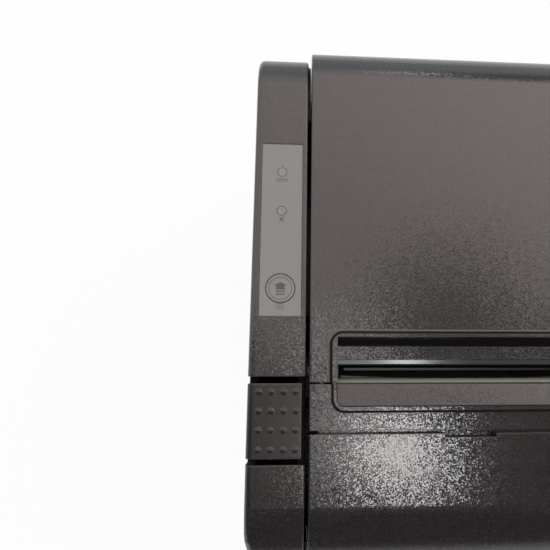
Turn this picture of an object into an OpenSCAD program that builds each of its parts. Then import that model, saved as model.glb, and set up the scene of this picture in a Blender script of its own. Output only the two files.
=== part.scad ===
/* [Paper] */
// Width of the paper that the printer takes
paper_w = 80; // [78:0.5:81]
// Largest roll that drops into the bucket
roll_d = 83; // [76:1:84]

/* [Body] */
// Distance along the floor from the front face to the cover's front edge
front_run = 61; // [59:1:70]
// Distance along the floor from the cover's front edge to its back
cover_run = 123; // [122:1:132]
// Height from the table to the top of the cover
body_h = 137; // [135:1:150]
// Fall of the top towards the front, in degrees
deck_angle = 4; // [3:0.5:6]
// Radius of the round between the top and the back
back_r = 16; // [12:1:18]
// Radius of the round between the top and the front
front_r = 25; // [20:1:28]
// Radius of the case's front corners seen from above
corner_r = 15; // [8:1:17]
// Small radius along the outer edges of the side strips
edge_r = 2; // [1:0.25:2.5]
// How much narrower each side is at the back
back_taper = 0.9; // [0:0.1:1.5]
// Wall of the case and covers
wall = 2.4; // [2:0.1:2.8]

/* [Side strips] */
// Width of each side strip
strip_w = 18.8; // [18:0.2:22]
// Gap between a strip and the cover
side_gap = 1.1; // [0.6:0.1:1.6]
// How far the strips end short of the cover's back
strip_short = 3; // [2:0.5:4]
// How far the cover's surface stands above the strips
cover_rise = 0.5; // [0:0.1:1]
// Room for the mechanism between the paper slot and the cover's side
side_room = 9.1; // [9:0.1:12]

/* [Base] */
// Height of the rubber feet below the base
foot_h = 2.5; // [1.5:0.5:4]
// Diameter of the rubber feet
foot_d = 13; // [10:1:16]
// Height of the base tray's rim above the table
base_top = 14; // [12:1:16]
// Shadow gap between the base tray and the case
base_gap = 0.4; // [0.2:0.1:0.8]

/* [Exit frame] */
// Space at each end of the paper slot
slot_margin = 3.5; // [3:0.1:4]
// Width of the raised rim round the exit
rim_w = 2.1; // [1.6:0.1:2.4]
// Height of the raised rim
rim_h = 1; // [0.5:0.1:1.6]
// Depth of the exit recess behind the seam
exit_back = 14.9; // [14.5:0.1:16]
// Depth of the exit recess in front of the seam
exit_front = 7.2; // [6:0.1:8]
// Outer corner radius of the rim
rim_r = 4.2; // [3:0.1:5]
// Gap between the cover and the bezel
seam_gap = 0.6; // [0.3:0.1:1]
// Length of the bezel in front of the seam
bezel_run = 14.9; // [14:0.1:17]
// Gap between the bezel and the front cover
front_gap = 1.2; // [0.6:0.1:2]
// Width of the finger notch in the front cover
notch_w = 17; // [10:1:30]

/* [Label and key] */
// Length of the control label
label_l = 59.8; // [56:0.2:64]
// Width of the control label
label_w = 13.9; // [13:0.1:14.5]
// Diameter of the feed key
key_d = 9.6; // [8:0.1:10]
// Diameter of the light windows
window_d = 3.5; // [2.5:0.1:4.5]

/* [Open lever] */
// Length of the lever's cap
lever_l = 23.4; // [22:0.2:24]
// Diameter of the raised dots
dot_d = 2; // [1.4:0.1:2.4]
// Diameter of the lever's pin
lever_pin_d = 3; // [2.5:0.1:3.5]

/* [Mechanism] */
// Diameter of the platen's rubber
platen_d = 10; // [9:0.2:10.4]
// Diameter of the platen's steel shaft
shaft_d = 6; // [5:0.2:6.4]
// Gear module
gear_m = 0.6; // [0.55:0.01:0.6]
// Radial clearance of shafts and pins in their bores
fit = 0.05; // [0.02:0.01:0.1]
// Gap between other moving faces
gap = 0.3; // [0.2:0.05:0.4]
// Thickness of the mechanism's sheet metal
sheet = 1.2; // [1:0.1:1.4]
// Diameter of the cover's hinge pins
hinge_d = 5; // [4:0.2:6]

/* [Hidden] */
$fn = 64;
BLACK = [0.13, 0.12, 0.12];
DARK = [0.2, 0.19, 0.19];
GREY = [0.56, 0.57, 0.56];
STEEL = [0.75, 0.76, 0.78];
RUBBER = [0.08, 0.08, 0.08];
BOARD = [0.1, 0.36, 0.22];
GOLD = [0.8, 0.66, 0.3];
WHITE = [0.88, 0.88, 0.84];

// Widths, from the paper outwards
slot_hw = paper_w / 2 + slot_margin;
cover_hw = slot_hw + side_room;
strip_in = cover_hw + side_gap;
body_w = 2 * (strip_in + strip_w);
hw = body_w / 2;
roll_hw = paper_w / 2 + 1;
hook_x = roll_hw + 1.3;
hook_t = 2;
rim_step = 0.2;
arm_x = slot_hw + rim_w - rim_step;
arm_t = 2;
plate_x = arm_x + arm_t + gap;
gear_x = plate_x + sheet + gap;
gear_t = 2.6;
shaft_end = gear_x + gear_t;

// Depths and heights
body_d = front_run + cover_run;
y_front = -body_d / 2;
y_back = body_d / 2;
strip_back = y_back - strip_short;
seam_y = y_front + front_run;
case_z = base_top + base_gap;
floor_z = foot_h + wall;

// The top plane: it touches the cover's back round
top_y = y_back - back_r - back_r * sin(deck_angle);
top_z = body_h - back_r + back_r * cos(deck_angle);
seam_z = top_z + (seam_y - top_y) * tan(deck_angle) - cover_rise / cos(deck_angle);

// Cover hinge
hinge_y = y_back - 8;
hinge_z = body_h - 37;
cover_low = hinge_z - 6.5;
back_top = hinge_z - 10.6;

// Roll bucket
bucket_r = roll_d / 2 + 2;
bucket_wall = 2;
bucket_front = 16.5;
bucket_y = seam_y + bucket_front + bucket_r + bucket_wall;
bucket_z = 28.5 + bucket_r;
bucket_top = back_top - 2;

// Mechanism, in the top plane's own frame: v runs back from the seam, h stands up from the plane
platen_v = 10.3;
platen_h = -20;
platen_teeth = 24;
idler_teeth = 36;
pinion_teeth = 12;
platen_to_idler = -110;
idler_to_pinion = -130;
platen_rot = platen_to_idler;
idler_rot = mesh_turn(platen_to_idler, platen_rot, platen_teeth, idler_teeth);
pinion_rot = mesh_turn(idler_to_pinion, idler_rot, idler_teeth, pinion_teeth);
idler_at = [platen_v, platen_h] + centres(platen_teeth, idler_teeth) * dir(platen_to_idler);
pinion_at = idler_at + centres(idler_teeth, pinion_teeth) * dir(idler_to_pinion);
motor_r = 17.5;
motor_l = 22;
bush_r = shaft_d / 2 + 1.5;
head_front = platen_v - platen_d / 2 - 0.1;
head_t = 1;
sink_t = 4.2;
rod_r = 1.5;
rod_at = [1.4, -27.5];
latch_at = [-7, -26];
latch_r = 2;
spring_wall = -13.2;

// Cutter, as heights under the top plane
bed_h = -8;
bed_t = 1.4;
blade_t = 1;
blade_h = bed_h + 0.2;
blade_edge = 2.5;
rail_x = roll_hw + 1.4;
rail_t = 2.2;
cut_teeth = 30;
rack_teeth = 12;
cut_pinion_teeth = 10;
cut_x = 17 - roll_hw;
cut_v = -30;
cut_motor_x = cut_x + centres(cut_teeth, cut_pinion_teeth);
cut_motor_r = 10;
cut_gear_h = blade_h + blade_t + gap;
cut_gear_t = 1.5;
cut_pinion_rot = mesh_turn(0, 0, cut_teeth, cut_pinion_teeth);

// Depth of the front cover's side skirts, and the bezel's flange under the front cover's edge
front_skirt = 14;
flange_h = 6;
flange_run = 2.4;

// Exit slot
lip_v = 1.6;
tear_v0 = 5.75;
tear_v1 = 7.6;
ledge_h = -4;
ledge_v = 12.35;
floor_h = -2.2;
floor_slope = 8;

// Lever, latch and label
lever_gap = 2.2;
lever_x1 = -strip_in - 1.3;
lever_pivot = [-3, -12];
finger_v = -17;
finger_w = 5;
finger_h = -24.4;
finger_x = lever_x1 - 7.5;
dot_pitch = [3.93, 6];
dot_rise = 0.45;
dot_r = (dot_d * dot_d / 4 + dot_rise * dot_rise) / (2 * dot_rise);
label_x = -(strip_in + strip_w / 2 - 0.7);
label_v = 21.6;
label_t = 0.3;
label_sink = 0.4;
key_v = label_v + 9.35;
window_v = [label_v + 35.9, label_v + 49.7];
board_h = -9;

// Base and board
screw_at = [[hw - 10.5, strip_back - 14], [hw - 10.5, y_front + 24]];
foot_at = [[hw - 16, strip_back - 18], [hw - 16, y_front + 20]];
pcb_z = floor_z + 10;
pcb_t = 1.6;
socket_z = pcb_z + pcb_t;
back_wall = strip_back - wall;
power_x = 34;
drawer_x = 14;
usb_x = -6;
net_x = -28;
switch_y = 52;
switch_z = 46;

function dir(a) = [cos(a), sin(a)];
function centres(t1, t2) = gear_m * (t1 + t2) / 2;
// Turn of the second gear so that it meshes with the first, which lies at angle a from it
function mesh_turn(a, turn, t1, t2) = a + 180 + 180 / t2 - (turn - a) * t1 / t2;
function inv(a) = tan(a) * 180 / PI - a;
// Height of the top plane over y, moved out by o
function deck_line(y, o) = seam_z + o / cos(deck_angle) + (y - seam_y) * tan(deck_angle);

// ---------- helpers ----------

// The top plane's frame: origin on the seam, Y along the top, Z out of it
module on_deck() {
  translate([0, seam_y, seam_z]) rotate([deck_angle, 0, 0]) children();
}

// Extrudes an outline drawn in Y and Z from x0 to x1
module along_x(x0, x1) {
  translate([x0, 0, 0]) rotate([90, 0, 90]) linear_extrude(x1 - x0) children();
}

module block(a, b) {
  translate(a) cube(b - a);
}

module rod_x(r, x0, x1, at) {
  translate([x0, at.x, at.y]) rotate([0, 90, 0]) cylinder(r = r, h = x1 - x0);
}

module both_sides() {
  children();
  mirror([1, 0, 0]) children();
}

// Rectangle with round corners, from circles and squares so that the arcs stay true
module round_rect(x0, x1, y0, y1, r) {
  translate([x0 + r, y0]) square([x1 - x0 - 2 * r, y1 - y0]);
  translate([x0, y0 + r]) square([x1 - x0, y1 - y0 - 2 * r]);
  for (x = [x0 + r, x1 - r], y = [y0 + r, y1 - r]) translate([x, y]) circle(r);
}

// Side outline of the body: flat top with a round at the front and at the back
module side_outline(back, inset, z0, raise = 0) {
  yf = y_front + inset;
  yb = back - inset;
  rf = front_r - inset;
  rb = back_r - inset;
  o = raise - inset;
  cf = [yf + rf, deck_line(yf + rf, o) - rf / cos(deck_angle)];
  cb = [yb - rb, deck_line(yb - rb, o) - rb / cos(deck_angle)];
  up = [-sin(deck_angle), cos(deck_angle)];
  polygon([[yf, z0], [yb, z0], [yb, cb.y], cb + rb * up, cf + rf * up, [yf, cf.y]]);
  translate(cf) circle(rf);
  translate(cb) circle(rb);
}

// Plan outline of the body with its large front corners
module plan_outline(inset, back) {
  x = hw - inset;
  r = corner_r - inset;
  yf = y_front + inset;
  polygon([[-x, yf + r], [-x + r, yf], [x - r, yf], [x, yf + r], [x, seam_y - 15], [x - back_taper, back],
           [-x + back_taper, back], [-x, seam_y - 15]]);
  for (sx = [-1, 1]) translate([sx * (x - r), yf + r]) circle(r);
}

// The case's outer form, its long edges rounded by layers of growing inset
module case_form(z0) {
  hull() for (t = [0:30:90]) intersection() {
    along_x(-hw, hw) side_outline(strip_back, edge_r * (1 - sin(t)), z0, $fn = 48);
    linear_extrude(body_h) plan_outline(edge_r * (1 - cos(t)), strip_back, $fn = 40);
  }
}

// The hollow inside a side strip
module strip_hollow(inset, z0) {
  intersection() {
    along_x(strip_in + inset, hw) side_outline(strip_back, inset, z0);
    translate([0, 0, -1]) linear_extrude(body_h) plan_outline(inset + back_taper / 3, strip_back);
  }
}

module gear_outline(teeth, turn = 0, thin = 0.07) {
  rp = gear_m * teeth / 2;
  rb = rp * cos(20);
  rt = rp + gear_m * 0.95;
  rr = rp - gear_m * 1.2;
  half = 90 / teeth - thin / rp * 180 / PI + inv(20);
  radii = [for (k = [0:3]) max(rb, rr) + (rt - max(rb, rr)) * k / 3];
  lead = [for (r = radii) [r, -half + inv(acos(min(1, rb / r)))]];
  back = [for (k = [3:-1:0]) [lead[k].x, -lead[k].y]];
  tooth = concat([[rr, -half * 1.12]], lead, back, [[rr, half * 1.12]]);
  polygon([for (i = [0:teeth - 1], p = tooth) p.x * dir(turn + i * 360 / teeth + p.y)]);
}

// Coil spring along +Z, swept as one closed tube
module coil(r, wire, turns, length) {
  per_turn = 12;
  sides = 6;
  n = turns * per_turn;
  rings = [for (i = [0:n]) let (a = i * 360 / per_turn, z = wire / 2 + (length - wire) * i / n)
    for (k = [0:sides - 1]) let (b = k * 360 / sides)
      [(r + wire / 2 * cos(b)) * cos(a), (r + wire / 2 * cos(b)) * sin(a), z + wire / 2 * sin(b)]];
  skin = [for (i = [0:n - 1], k = [0:sides - 1]) let (j = (k + 1) % sides)
    [i * sides + k, (i + 1) * sides + k, (i + 1) * sides + j, i * sides + j]];
  ends = [[for (k = [0:sides - 1]) k], [for (k = [sides - 1:-1:0]) n * sides + k]];
  polyhedron(concat(rings), concat(skin, ends), convexity = 8);
}

// ---------- base ----------

// Tray that carries the whole printer: floor, rim, screw bosses, board posts and foot recesses
module base_tray() {
  color(BLACK) {
    difference() {
      translate([0, 0, foot_h]) linear_extrude(base_top - foot_h) plan_outline(0.6, strip_back - 0.6);
      translate([0, 0, floor_z]) linear_extrude(base_top) plan_outline(0.6 + wall, strip_back - 0.6 - wall);
      both_sides() for (p = foot_at) translate([p.x, p.y, 0]) cylinder(d = foot_d, h = foot_h + 0.7);
      both_sides() for (p = screw_at) translate([p.x, p.y, 0]) {
        cylinder(r = 3, h = floor_z + 1.5);
        cylinder(r = 1.7, h = base_top);
      }
      for (x = [-24:6:24]) block([x - 1.2, -30, 0], [x + 1.2, 10, floor_z + 1]);
    }
    both_sides() for (p = screw_at) translate([p.x, p.y, floor_z - 0.5]) difference() {
      cylinder(r = 5, h = case_z - floor_z + 0.5);
      cylinder(r = 3, h = 2);
      cylinder(r = 1.7, h = base_top);
    }
    both_sides() for (y = [bucket_y - 30, back_wall - 8]) translate([38, y, floor_z - 0.5])
      cylinder(r = 3, h = pcb_z - floor_z + 0.5);
  }
}

// Four rubber feet pressed into the tray
module rubber_feet() {
  color(RUBBER) both_sides() for (p = foot_at) translate([p.x, p.y, 0]) {
    cylinder(d1 = foot_d - 1, d2 = foot_d, h = 0.6);
    translate([0, 0, 0.6]) cylinder(d = foot_d, h = foot_h + 0.1);
  }
}

// Four long screws that hold the case down to the tray
module case_screws() {
  color(STEEL) both_sides() for (p = screw_at) translate([p.x, p.y, floor_z - 0.9]) difference() {
    union() {
      cylinder(r = 2.8, h = 2.4);
      cylinder(r = 1.5, h = 22);
    }
    for (a = [0, 90]) rotate(a) translate([-2, -0.4, -1]) cube([4, 0.8, 2]);
  }
}

// ---------- case ----------

// Case with both side strips; the cover, bezel and front cover fit between them
module upper_case() {
  color(BLACK) {
    difference() {
      case_form(case_z);
      both_sides() {
        strip_hollow(wall, case_z - 1);
        along_x(-1, strip_in) side_outline(y_back + 40, -40, case_z - 1);
      }
      lever_pocket();
      on_deck() {
        block([label_x - label_w / 2, label_v, -label_sink], [label_x + label_w / 2, label_v + label_l, 5]);
        translate([label_x, key_v, -5]) cylinder(d = key_d + 0.7, h = 10);
        for (v = window_v) translate([label_x, v, -5]) cylinder(d = window_d + 0.1, h = 10);
      }
      rod_x(hinge_d / 2, -strip_in - wall - 1, strip_in + wall + 1, [hinge_y, hinge_z]);
      on_deck() rod_x(latch_r + fit, -strip_in - wall - 1, -strip_in + 1, latch_at);
      on_deck() rod_x(lever_pin_d / 2, -hw + wall, -strip_in - wall + 0.6, lever_pivot);
      block([hw - 6, switch_y - 10, switch_z - 7], [hw + 1, switch_y + 10, switch_z + 7]);
    }
    case_inside();
    gap_ribs();
    rear_panel();
  }
}

// Thin ribs on the strips that close the gap beside the covers at the back and the front
module gap_ribs() {
  both_sides() along_x(strip_in - side_gap + 0.25, strip_in + 0.1) difference() {
    intersection() {
      side_outline(strip_back, 2, case_z + 1.5);
      union() {
        translate([hinge_y - 24, back_top]) square([strip_back, body_h]);
        translate([y_front, 0]) square([12, body_h]);
      }
    }
    translate([hinge_y, hinge_z]) circle(hinge_d / 2 + fit);
  }
}

// Opening in the left strip for the open lever
module lever_pocket() {
  on_deck() {
    block([-hw - 1, -lever_l - 1.9, -5.2], [-strip_in + 1, lever_gap, 5]);
    block([-hw - 1, -lever_l - 1.9, -10.6], [-hw + wall + 2, lever_gap, 5]);
  }
}

// Screw bosses, bucket ledges, lever bosses and posts for the key board
module case_inside() {
  both_sides() for (p = screw_at) translate([p.x, p.y, case_z]) difference() {
    union() {
      cylinder(r = 4, h = 20);
      block([0, -1, 0], [hw - p.x - wall + 0.3, 1, 20]);
    }
    cylinder(r = 1.5, h = 14);
  }
  both_sides() for (y = [bucket_y - 30, bucket_y + 16])
    block([strip_in - 1.5, y, bucket_top - 4], [strip_in + 0.5, y + 14, bucket_top - 2]);
  block([-strip_in - 0.5, back_wall - 0.5, case_z], [strip_in + 0.5, strip_back - 0.3, socket_z - 0.2]);
  block([-strip_in - 0.5, y_front + corner_r + 6, case_z],
        [strip_in + 0.5, y_front + corner_r + 8.4, case_z + 12]);
  on_deck() {
    for (v = [label_v + 20, label_v + 43]) translate([label_x, v, board_h]) cylinder(r = 2.2, h = 7);
    difference() {
      block([-hw + wall - 0.4, lever_pivot.x - 3, lever_pivot.y - 3],
            [-hw + wall + 1.3, lever_pivot.x + 3, -10.6]);
      rod_x(lever_pin_d / 2, -hw, -strip_in, lever_pivot);
    }
    block([-hw + wall - 0.4, finger_v - 3, latch_at.y - 13], [-strip_in - 1, finger_v + 3, latch_at.y - 11]);
  }
}

// Back wall between the strips, with the cut-outs for the sockets
module rear_panel() {
  difference() {
    block([-strip_in - 0.5, back_wall, case_z], [strip_in + 0.5, strip_back, back_top]);
    translate([power_x, 0, socket_z + 7]) rotate([-90, 0, 0]) cylinder(r = 6.8, h = y_back);
    block([drawer_x - 7.2, 0, socket_z - 0.2], [drawer_x + 7.2, y_back, socket_z + 13.2]);
    block([usb_x - 6.4, 0, socket_z - 0.2], [usb_x + 6.4, y_back, socket_z + 11.4]);
    block([net_x - 8.4, 0, socket_z - 0.2], [net_x + 8.4, y_back, socket_z + 13.9]);
  }
  for (x = [-40:8:40]) block([x - 1, back_wall - 1, 50], [x + 1, back_wall + 0.5, back_top - 6]);
}

// Stub pins on which the cover turns
module hinge_pins() {
  color(STEEL) both_sides() rod_x(hinge_d / 2, arm_x - 0.4, strip_in + wall, [hinge_y, hinge_z]);
}

// Drop-in bucket for the paper roll
module paper_bucket() {
  color(DARK) difference() {
    union() {
      along_x(-roll_hw - 2, roll_hw + 2) intersection() {
        bucket_outline(bucket_r + bucket_wall, bucket_top);
        translate([bucket_y - body_d / 2, 0]) square([body_d, bucket_top]);
      }
      block([-strip_in + 0.2, bucket_y - 32, bucket_top - 2], [strip_in - 0.2, bucket_y + 34, bucket_top]);
    }
    along_x(-roll_hw, roll_hw) bucket_outline(bucket_r, bucket_top + 1);
    for (x = [-24, 0, 24]) along_x(x - 1, x + 1) translate([bucket_y, bucket_z]) difference() {
      circle(bucket_r + 0.8);
      circle(bucket_r - 1);
    }
    translate([roll_hw - 5, bucket_y + 12, bucket_z - 8]) rotate([0, 90, 0]) cylinder(r = 3, h = 12);
  }
}

// Section of the bucket: a round bottom with straight walls above it
module bucket_outline(r, top) {
  translate([bucket_y, bucket_z]) circle(r);
  translate([bucket_y - r, bucket_z]) square([2 * r, top - bucket_z]);
}

// Sensor that sees when the roll runs low, in the bucket's side wall
module paper_sensor() {
  color(DARK) translate([roll_hw, bucket_y + 12, bucket_z - 8]) rotate([0, 90, 0]) {
    translate([0, 0, 0.4]) cylinder(r = 3, h = 1.8);
    translate([-4.5, -4.5, 2]) cube([9, 9, 4]);
  }
}

// ---------- cover ----------

// Roll cover: top skin, back, back half of the exit frame and the hinge ears
module top_cover() {
  color(BLACK) {
    difference() {
      along_x(-cover_hw, cover_hw) intersection() {
        side_outline(y_back, 0, cover_low, cover_rise);
        cover_reach();
      }
      along_x(-cover_hw + 2, cover_hw - 2) side_outline(y_back, wall, cover_low - 5, cover_rise);
      on_deck() along_x(-slot_hw, slot_hw) pocket_outline(0, 3);
      rod_x(hinge_d / 2 + fit, -cover_hw - 1, cover_hw + 1, [hinge_y, hinge_z]);
    }
    on_deck() {
      cover_rim();
      along_x(-slot_hw, slot_hw) difference() {
        pocket_outline(1.8, -0.2);
        pocket_outline(0, 3);
      }
      both_sides() along_x(slot_hw, slot_hw + 1.8) pocket_outline(1.8, -0.2);
    }
    both_sides() hinge_ear();
  }
}

// The stretch of the body that belongs to the cover, as a Y-Z outline
module cover_reach() {
  translate([seam_y, seam_z]) rotate(deck_angle) translate([seam_gap / 2, -8]) square([body_d, 40]);
  translate([strip_back - back_r - 4, cover_low]) square([60, 60]);
}

// Section of the exit recess in the cover, with its sloped back wall; top is its height over the cover
module pocket_outline(grow, top) {
  v0 = grow > 0 ? seam_gap / 2 : -4;
  low = grow > 0 ? ledge_h - 1 : ledge_h - 3;
  polygon([[v0, cover_rise + top], [v0, low], [ledge_v + grow, low], [ledge_v + grow, ledge_h],
           [exit_back + grow, cover_rise - 0.3], [exit_back + grow, cover_rise + top]]);
}

// Section of the raised rim, from its rounded outer edge at x = 0 to its inner edge
module rim_section(width) {
  polygon([[0, -0.5], [0, rim_h - 0.65], [0.12, rim_h - 0.35], [0.35, rim_h - 0.12], [0.7, rim_h],
           [width, rim_h], [width, -0.5]]);
}

// Rim piece along Y on the left edge x, from v0 to v1
module rim_leg(x, v0, v1, width) {
  translate([x, v1, 0]) rotate([90, 0, 0]) linear_extrude(v1 - v0) rim_section(width);
}

// Quarter of the rim, turned from the rim's outer corner round a point inside it
module rim_corner(x, v, turn) {
  translate([x, v, 0]) rotate(turn) rotate_extrude(angle = 90) translate([rim_r, 0]) mirror([1, 0, 0])
    rim_section(rim_r);
}

// Rim piece along X between the corners, with its outer edge at v and its inner edge towards the slot
module rim_bar(x, v, towards, width) {
  translate([-x, v, 0]) rotate([90, 0, 90]) linear_extrude(2 * x) scale([towards, 1]) rim_section(width);
}

// Back half of the exit rim: a bar, two round corners and two legs round the pocket
module cover_rim() {
  x = slot_hw + rim_w + rim_step;
  v = exit_back + rim_w - 0.4;
  translate([0, 0, cover_rise]) difference() {
    union() {
      rim_bar(x - rim_r, v, -1, rim_w);
      both_sides() {
        rim_leg(-x, seam_gap / 2, v - rim_r, x - slot_hw);
        rim_corner(-x + rim_r, v - rim_r, 90);
      }
    }
    block([-slot_hw, 0, -1], [slot_hw, exit_back, 2 * rim_h]);
  }
}

// Front half of the exit rim, a little narrower than the back half
module bezel_rim() {
  x = slot_hw + rim_w - rim_step;
  v = -exit_front - rim_w;
  rim_bar(x - rim_r, v, 1, rim_w);
  both_sides() {
    rim_leg(-x, v + rim_r, -seam_gap / 2, x - slot_hw);
    rim_corner(-x + rim_r, v + rim_r, 180);
  }
}

module hinge_ear() {
  difference() {
    along_x(arm_x, arm_x + 3) intersection() {
      union() {
        translate([hinge_y, hinge_z]) circle(r = hinge_d / 2 + 3.2);
        polygon([[hinge_y - 5.6, hinge_z], [hinge_y + 5.6, hinge_z], [hinge_y + 6, hinge_z + 24],
                 [hinge_y - 40, hinge_z + 40], [hinge_y - 40, hinge_z + 26]]);
      }
      side_outline(y_back, 1, cover_low - 5, cover_rise);
    }
    rod_x(hinge_d / 2 + fit, arm_x - 1, arm_x + 4, [hinge_y, hinge_z]);
  }
}

// Inner skin of the cover: curved guide over the roll, on ribs
module cover_liner() {
  x = roll_hw + 1;
  color(DARK) {
    difference() {
      along_x(-x, x) intersection() {
        difference() {
          side_outline(y_back, 8, cover_low, cover_rise);
          side_outline(y_back, 9.6, cover_low - 5, cover_rise);
        }
        liner_reach();
      }
      on_deck() liner_screws() cylinder(r = 1.2, h = 40, center = true);
    }
    for (k = [-2:2]) along_x(k * x / 2.1 - 0.8, k * x / 2.1 + 0.8) intersection() {
      difference() {
        side_outline(y_back, wall, cover_low, cover_rise);
        side_outline(y_back, 8.5, cover_low - 5, cover_rise);
      }
      liner_reach();
    }
    on_deck() liner_screws() difference() {
      translate([0, 0, -8.4]) cylinder(r = 2.9, h = 8.4 - wall);
      cylinder(r = 1.2, h = 40, center = true);
    }
  }
}

module liner_reach() {
  translate([seam_y, seam_z]) rotate(deck_angle) translate([exit_back + 6, -40]) square([body_d, 60]);
}

// Where the liner is screwed to the cover; children are placed on the cover's surface
module liner_screws() {
  both_sides() for (v = [34, 80]) translate([roll_hw - 11, v, cover_rise]) children();
}

// Four small screws through the liner's bosses
module cover_screws() {
  color(STEEL) on_deck() liner_screws() difference() {
    union() {
      translate([0, 0, -10.6]) cylinder(r = 2.4, h = 1);
      translate([0, 0, -10.6]) cylinder(r = 1.2, h = 10.6 - wall);
    }
    for (a = [0, 90]) rotate(a) translate([-1.6, -0.3, -11.6]) cube([3.2, 0.6, 1.6]);
  }
}

// Bar behind the paper slot: its top is the ledge, its ends are the platen's bearing arms
module tear_bar_holder() {
  color(DARK) on_deck() {
    difference() {
      along_x(-slot_hw + 0.2, slot_hw - 0.2)
        polygon([[tear_v1, ledge_h], [tear_v1, -6.4], [exit_back + 3, -6.4], [exit_back + 3, ledge_h - 1.2],
                 [ledge_v - 0.3, ledge_h - 1.2], [ledge_v - 0.3, ledge_h]]);
      for (x = [-36:12:36]) block([x - 4, tear_v1 + 2, -8], [x + 4, exit_back - 1, -5.4]);
    }
    both_sides() difference() {
      along_x(arm_x, arm_x + arm_t) {
        polygon([[6.2, -2.4], [6, -12], [platen_v - bush_r - 2, platen_h], [platen_v + bush_r + 2, platen_h],
                 [exit_back + 5, -10], [exit_back + 5, cover_rise - wall], [exit_back + 2, cover_rise - wall]]);
        translate([platen_v, platen_h]) circle(bush_r + 2);
      }
      rod_x(bush_r, arm_x - 1, arm_x + arm_t + 1, [platen_v, platen_h]);
    }
    both_sides() block([slot_hw - 1, exit_back - 2, -8.4], [arm_x + 1, exit_back + 3, -5.2]);
  }
}

// Polished strip that cuts the paper
module tear_blade() {
  color(STEEL) on_deck() along_x(-slot_hw + 0.3, slot_hw - 0.3)
    polygon([[tear_v0, -3.1], [tear_v0 + 0.5, -2.9], [tear_v1, ledge_h + 0.1], [tear_v1, -6.4],
             [tear_v1 - 0.9, -6.4], [tear_v1 - 0.9, ledge_h - 0.6], [tear_v0, -3.5]]);
}

// ---------- platen ----------

module platen_bushes() {
  color(WHITE) on_deck() both_sides() difference() {
    union() {
      rod_x(bush_r, arm_x, plate_x + sheet, [platen_v, platen_h]);
      rod_x(bush_r + 1, arm_x - 0.8, arm_x, [platen_v, platen_h]);
    }
    rod_x(shaft_d / 2 + fit, 0, hw, [platen_v, platen_h]);
  }
}

module platen_shaft() {
  color(STEEL) on_deck() rod_x(shaft_d / 2, -shaft_end, plate_x + sheet + 0.6, [platen_v, platen_h]);
}

module platen_rubber() {
  color(RUBBER) on_deck() difference() {
    rod_x(platen_d / 2, -roll_hw, roll_hw, [platen_v, platen_h]);
    rod_x(shaft_d / 2, -hw, hw, [platen_v, platen_h]);
  }
}

module platen_gear() {
  color(WHITE) on_deck() difference() {
    gear_at([platen_v, platen_h], platen_teeth, platen_rot);
    rod_x(shaft_d / 2, -hw, 0, [platen_v, platen_h]);
  }
}

module gear_at(at, teeth, turn) {
  along_x(-shaft_end, -gear_x) translate(at) gear_outline(teeth, turn);
}

// ---------- front and lever ----------

// Bezel in front of the exit: front half of the frame and its recessed floor
module exit_bezel() {
  v0 = -bezel_run;
  v1 = -seam_gap / 2;
  color(BLACK) on_deck() difference() {
    union() {
      block([-cover_hw, v0, -wall], [cover_hw, v1, 0]);
      both_sides() block([cover_hw - 2, v0, -7], [cover_hw, v1, -1]);
      block([-cover_hw, v0, -flange_h], [cover_hw, v0 + 1.6, -1]);
      block([-cover_hw + 3, v0 - front_gap - flange_run, -flange_h], [cover_hw - 3, v0 + 0.1, 1.1 - flange_h]);
      block([-slot_hw - 1.6, -exit_front - 1.6, floor_h - 1.9], [slot_hw + 1.6, v1, -1]);
      bezel_rim();
    }
    intersection() {
      translate([0, 0, floor_h - 2]) linear_extrude(10)
        round_rect(-slot_hw, slot_hw, -exit_front, 10, rim_r - rim_w);
      along_x(-hw, hw) translate([-exit_front / 2, floor_h]) rotate(-floor_slope)
        translate([-exit_front, 0]) square([3 * exit_front, 10]);
    }
  }
}

// Front cover that pulls off forwards: curved skin, side skirts and a short lip along its top edge
module front_cover() {
  color(BLACK) difference() {
    along_x(-cover_hw, cover_hw) intersection() {
      side_outline(y_back, 0, case_z + 0.4);
      front_reach(0, -body_h);
    }
    along_x(-cover_hw + 2, cover_hw - 2) intersection() {
      side_outline(y_back, wall, case_z - 5);
      union() {
        front_reach(2, -body_h);
        front_reach(0, -body_h, -4.2);
      }
    }
    on_deck() {
      block([-notch_w / 2, -bezel_run - front_gap - 1.2, -5], [notch_w / 2, 0, 5]);
      along_x(-cover_hw - 1, cover_hw + 1) translate([-bezel_run - 26, -2 * body_h])
        square([60, 2 * body_h - 12]);
    }
    block([-hw, y_front + front_skirt, 0], [hw, y_back, body_h - 45]);
  }
}

// The stretch of the body in front of the bezel, as a Y-Z outline, from low up to top
module front_reach(short, low, top = 20) {
  translate([seam_y, seam_z]) rotate(deck_angle)
    translate([-front_run - 20, low]) square([front_run + 20 - bezel_run - front_gap - short, top - low]);
}

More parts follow.
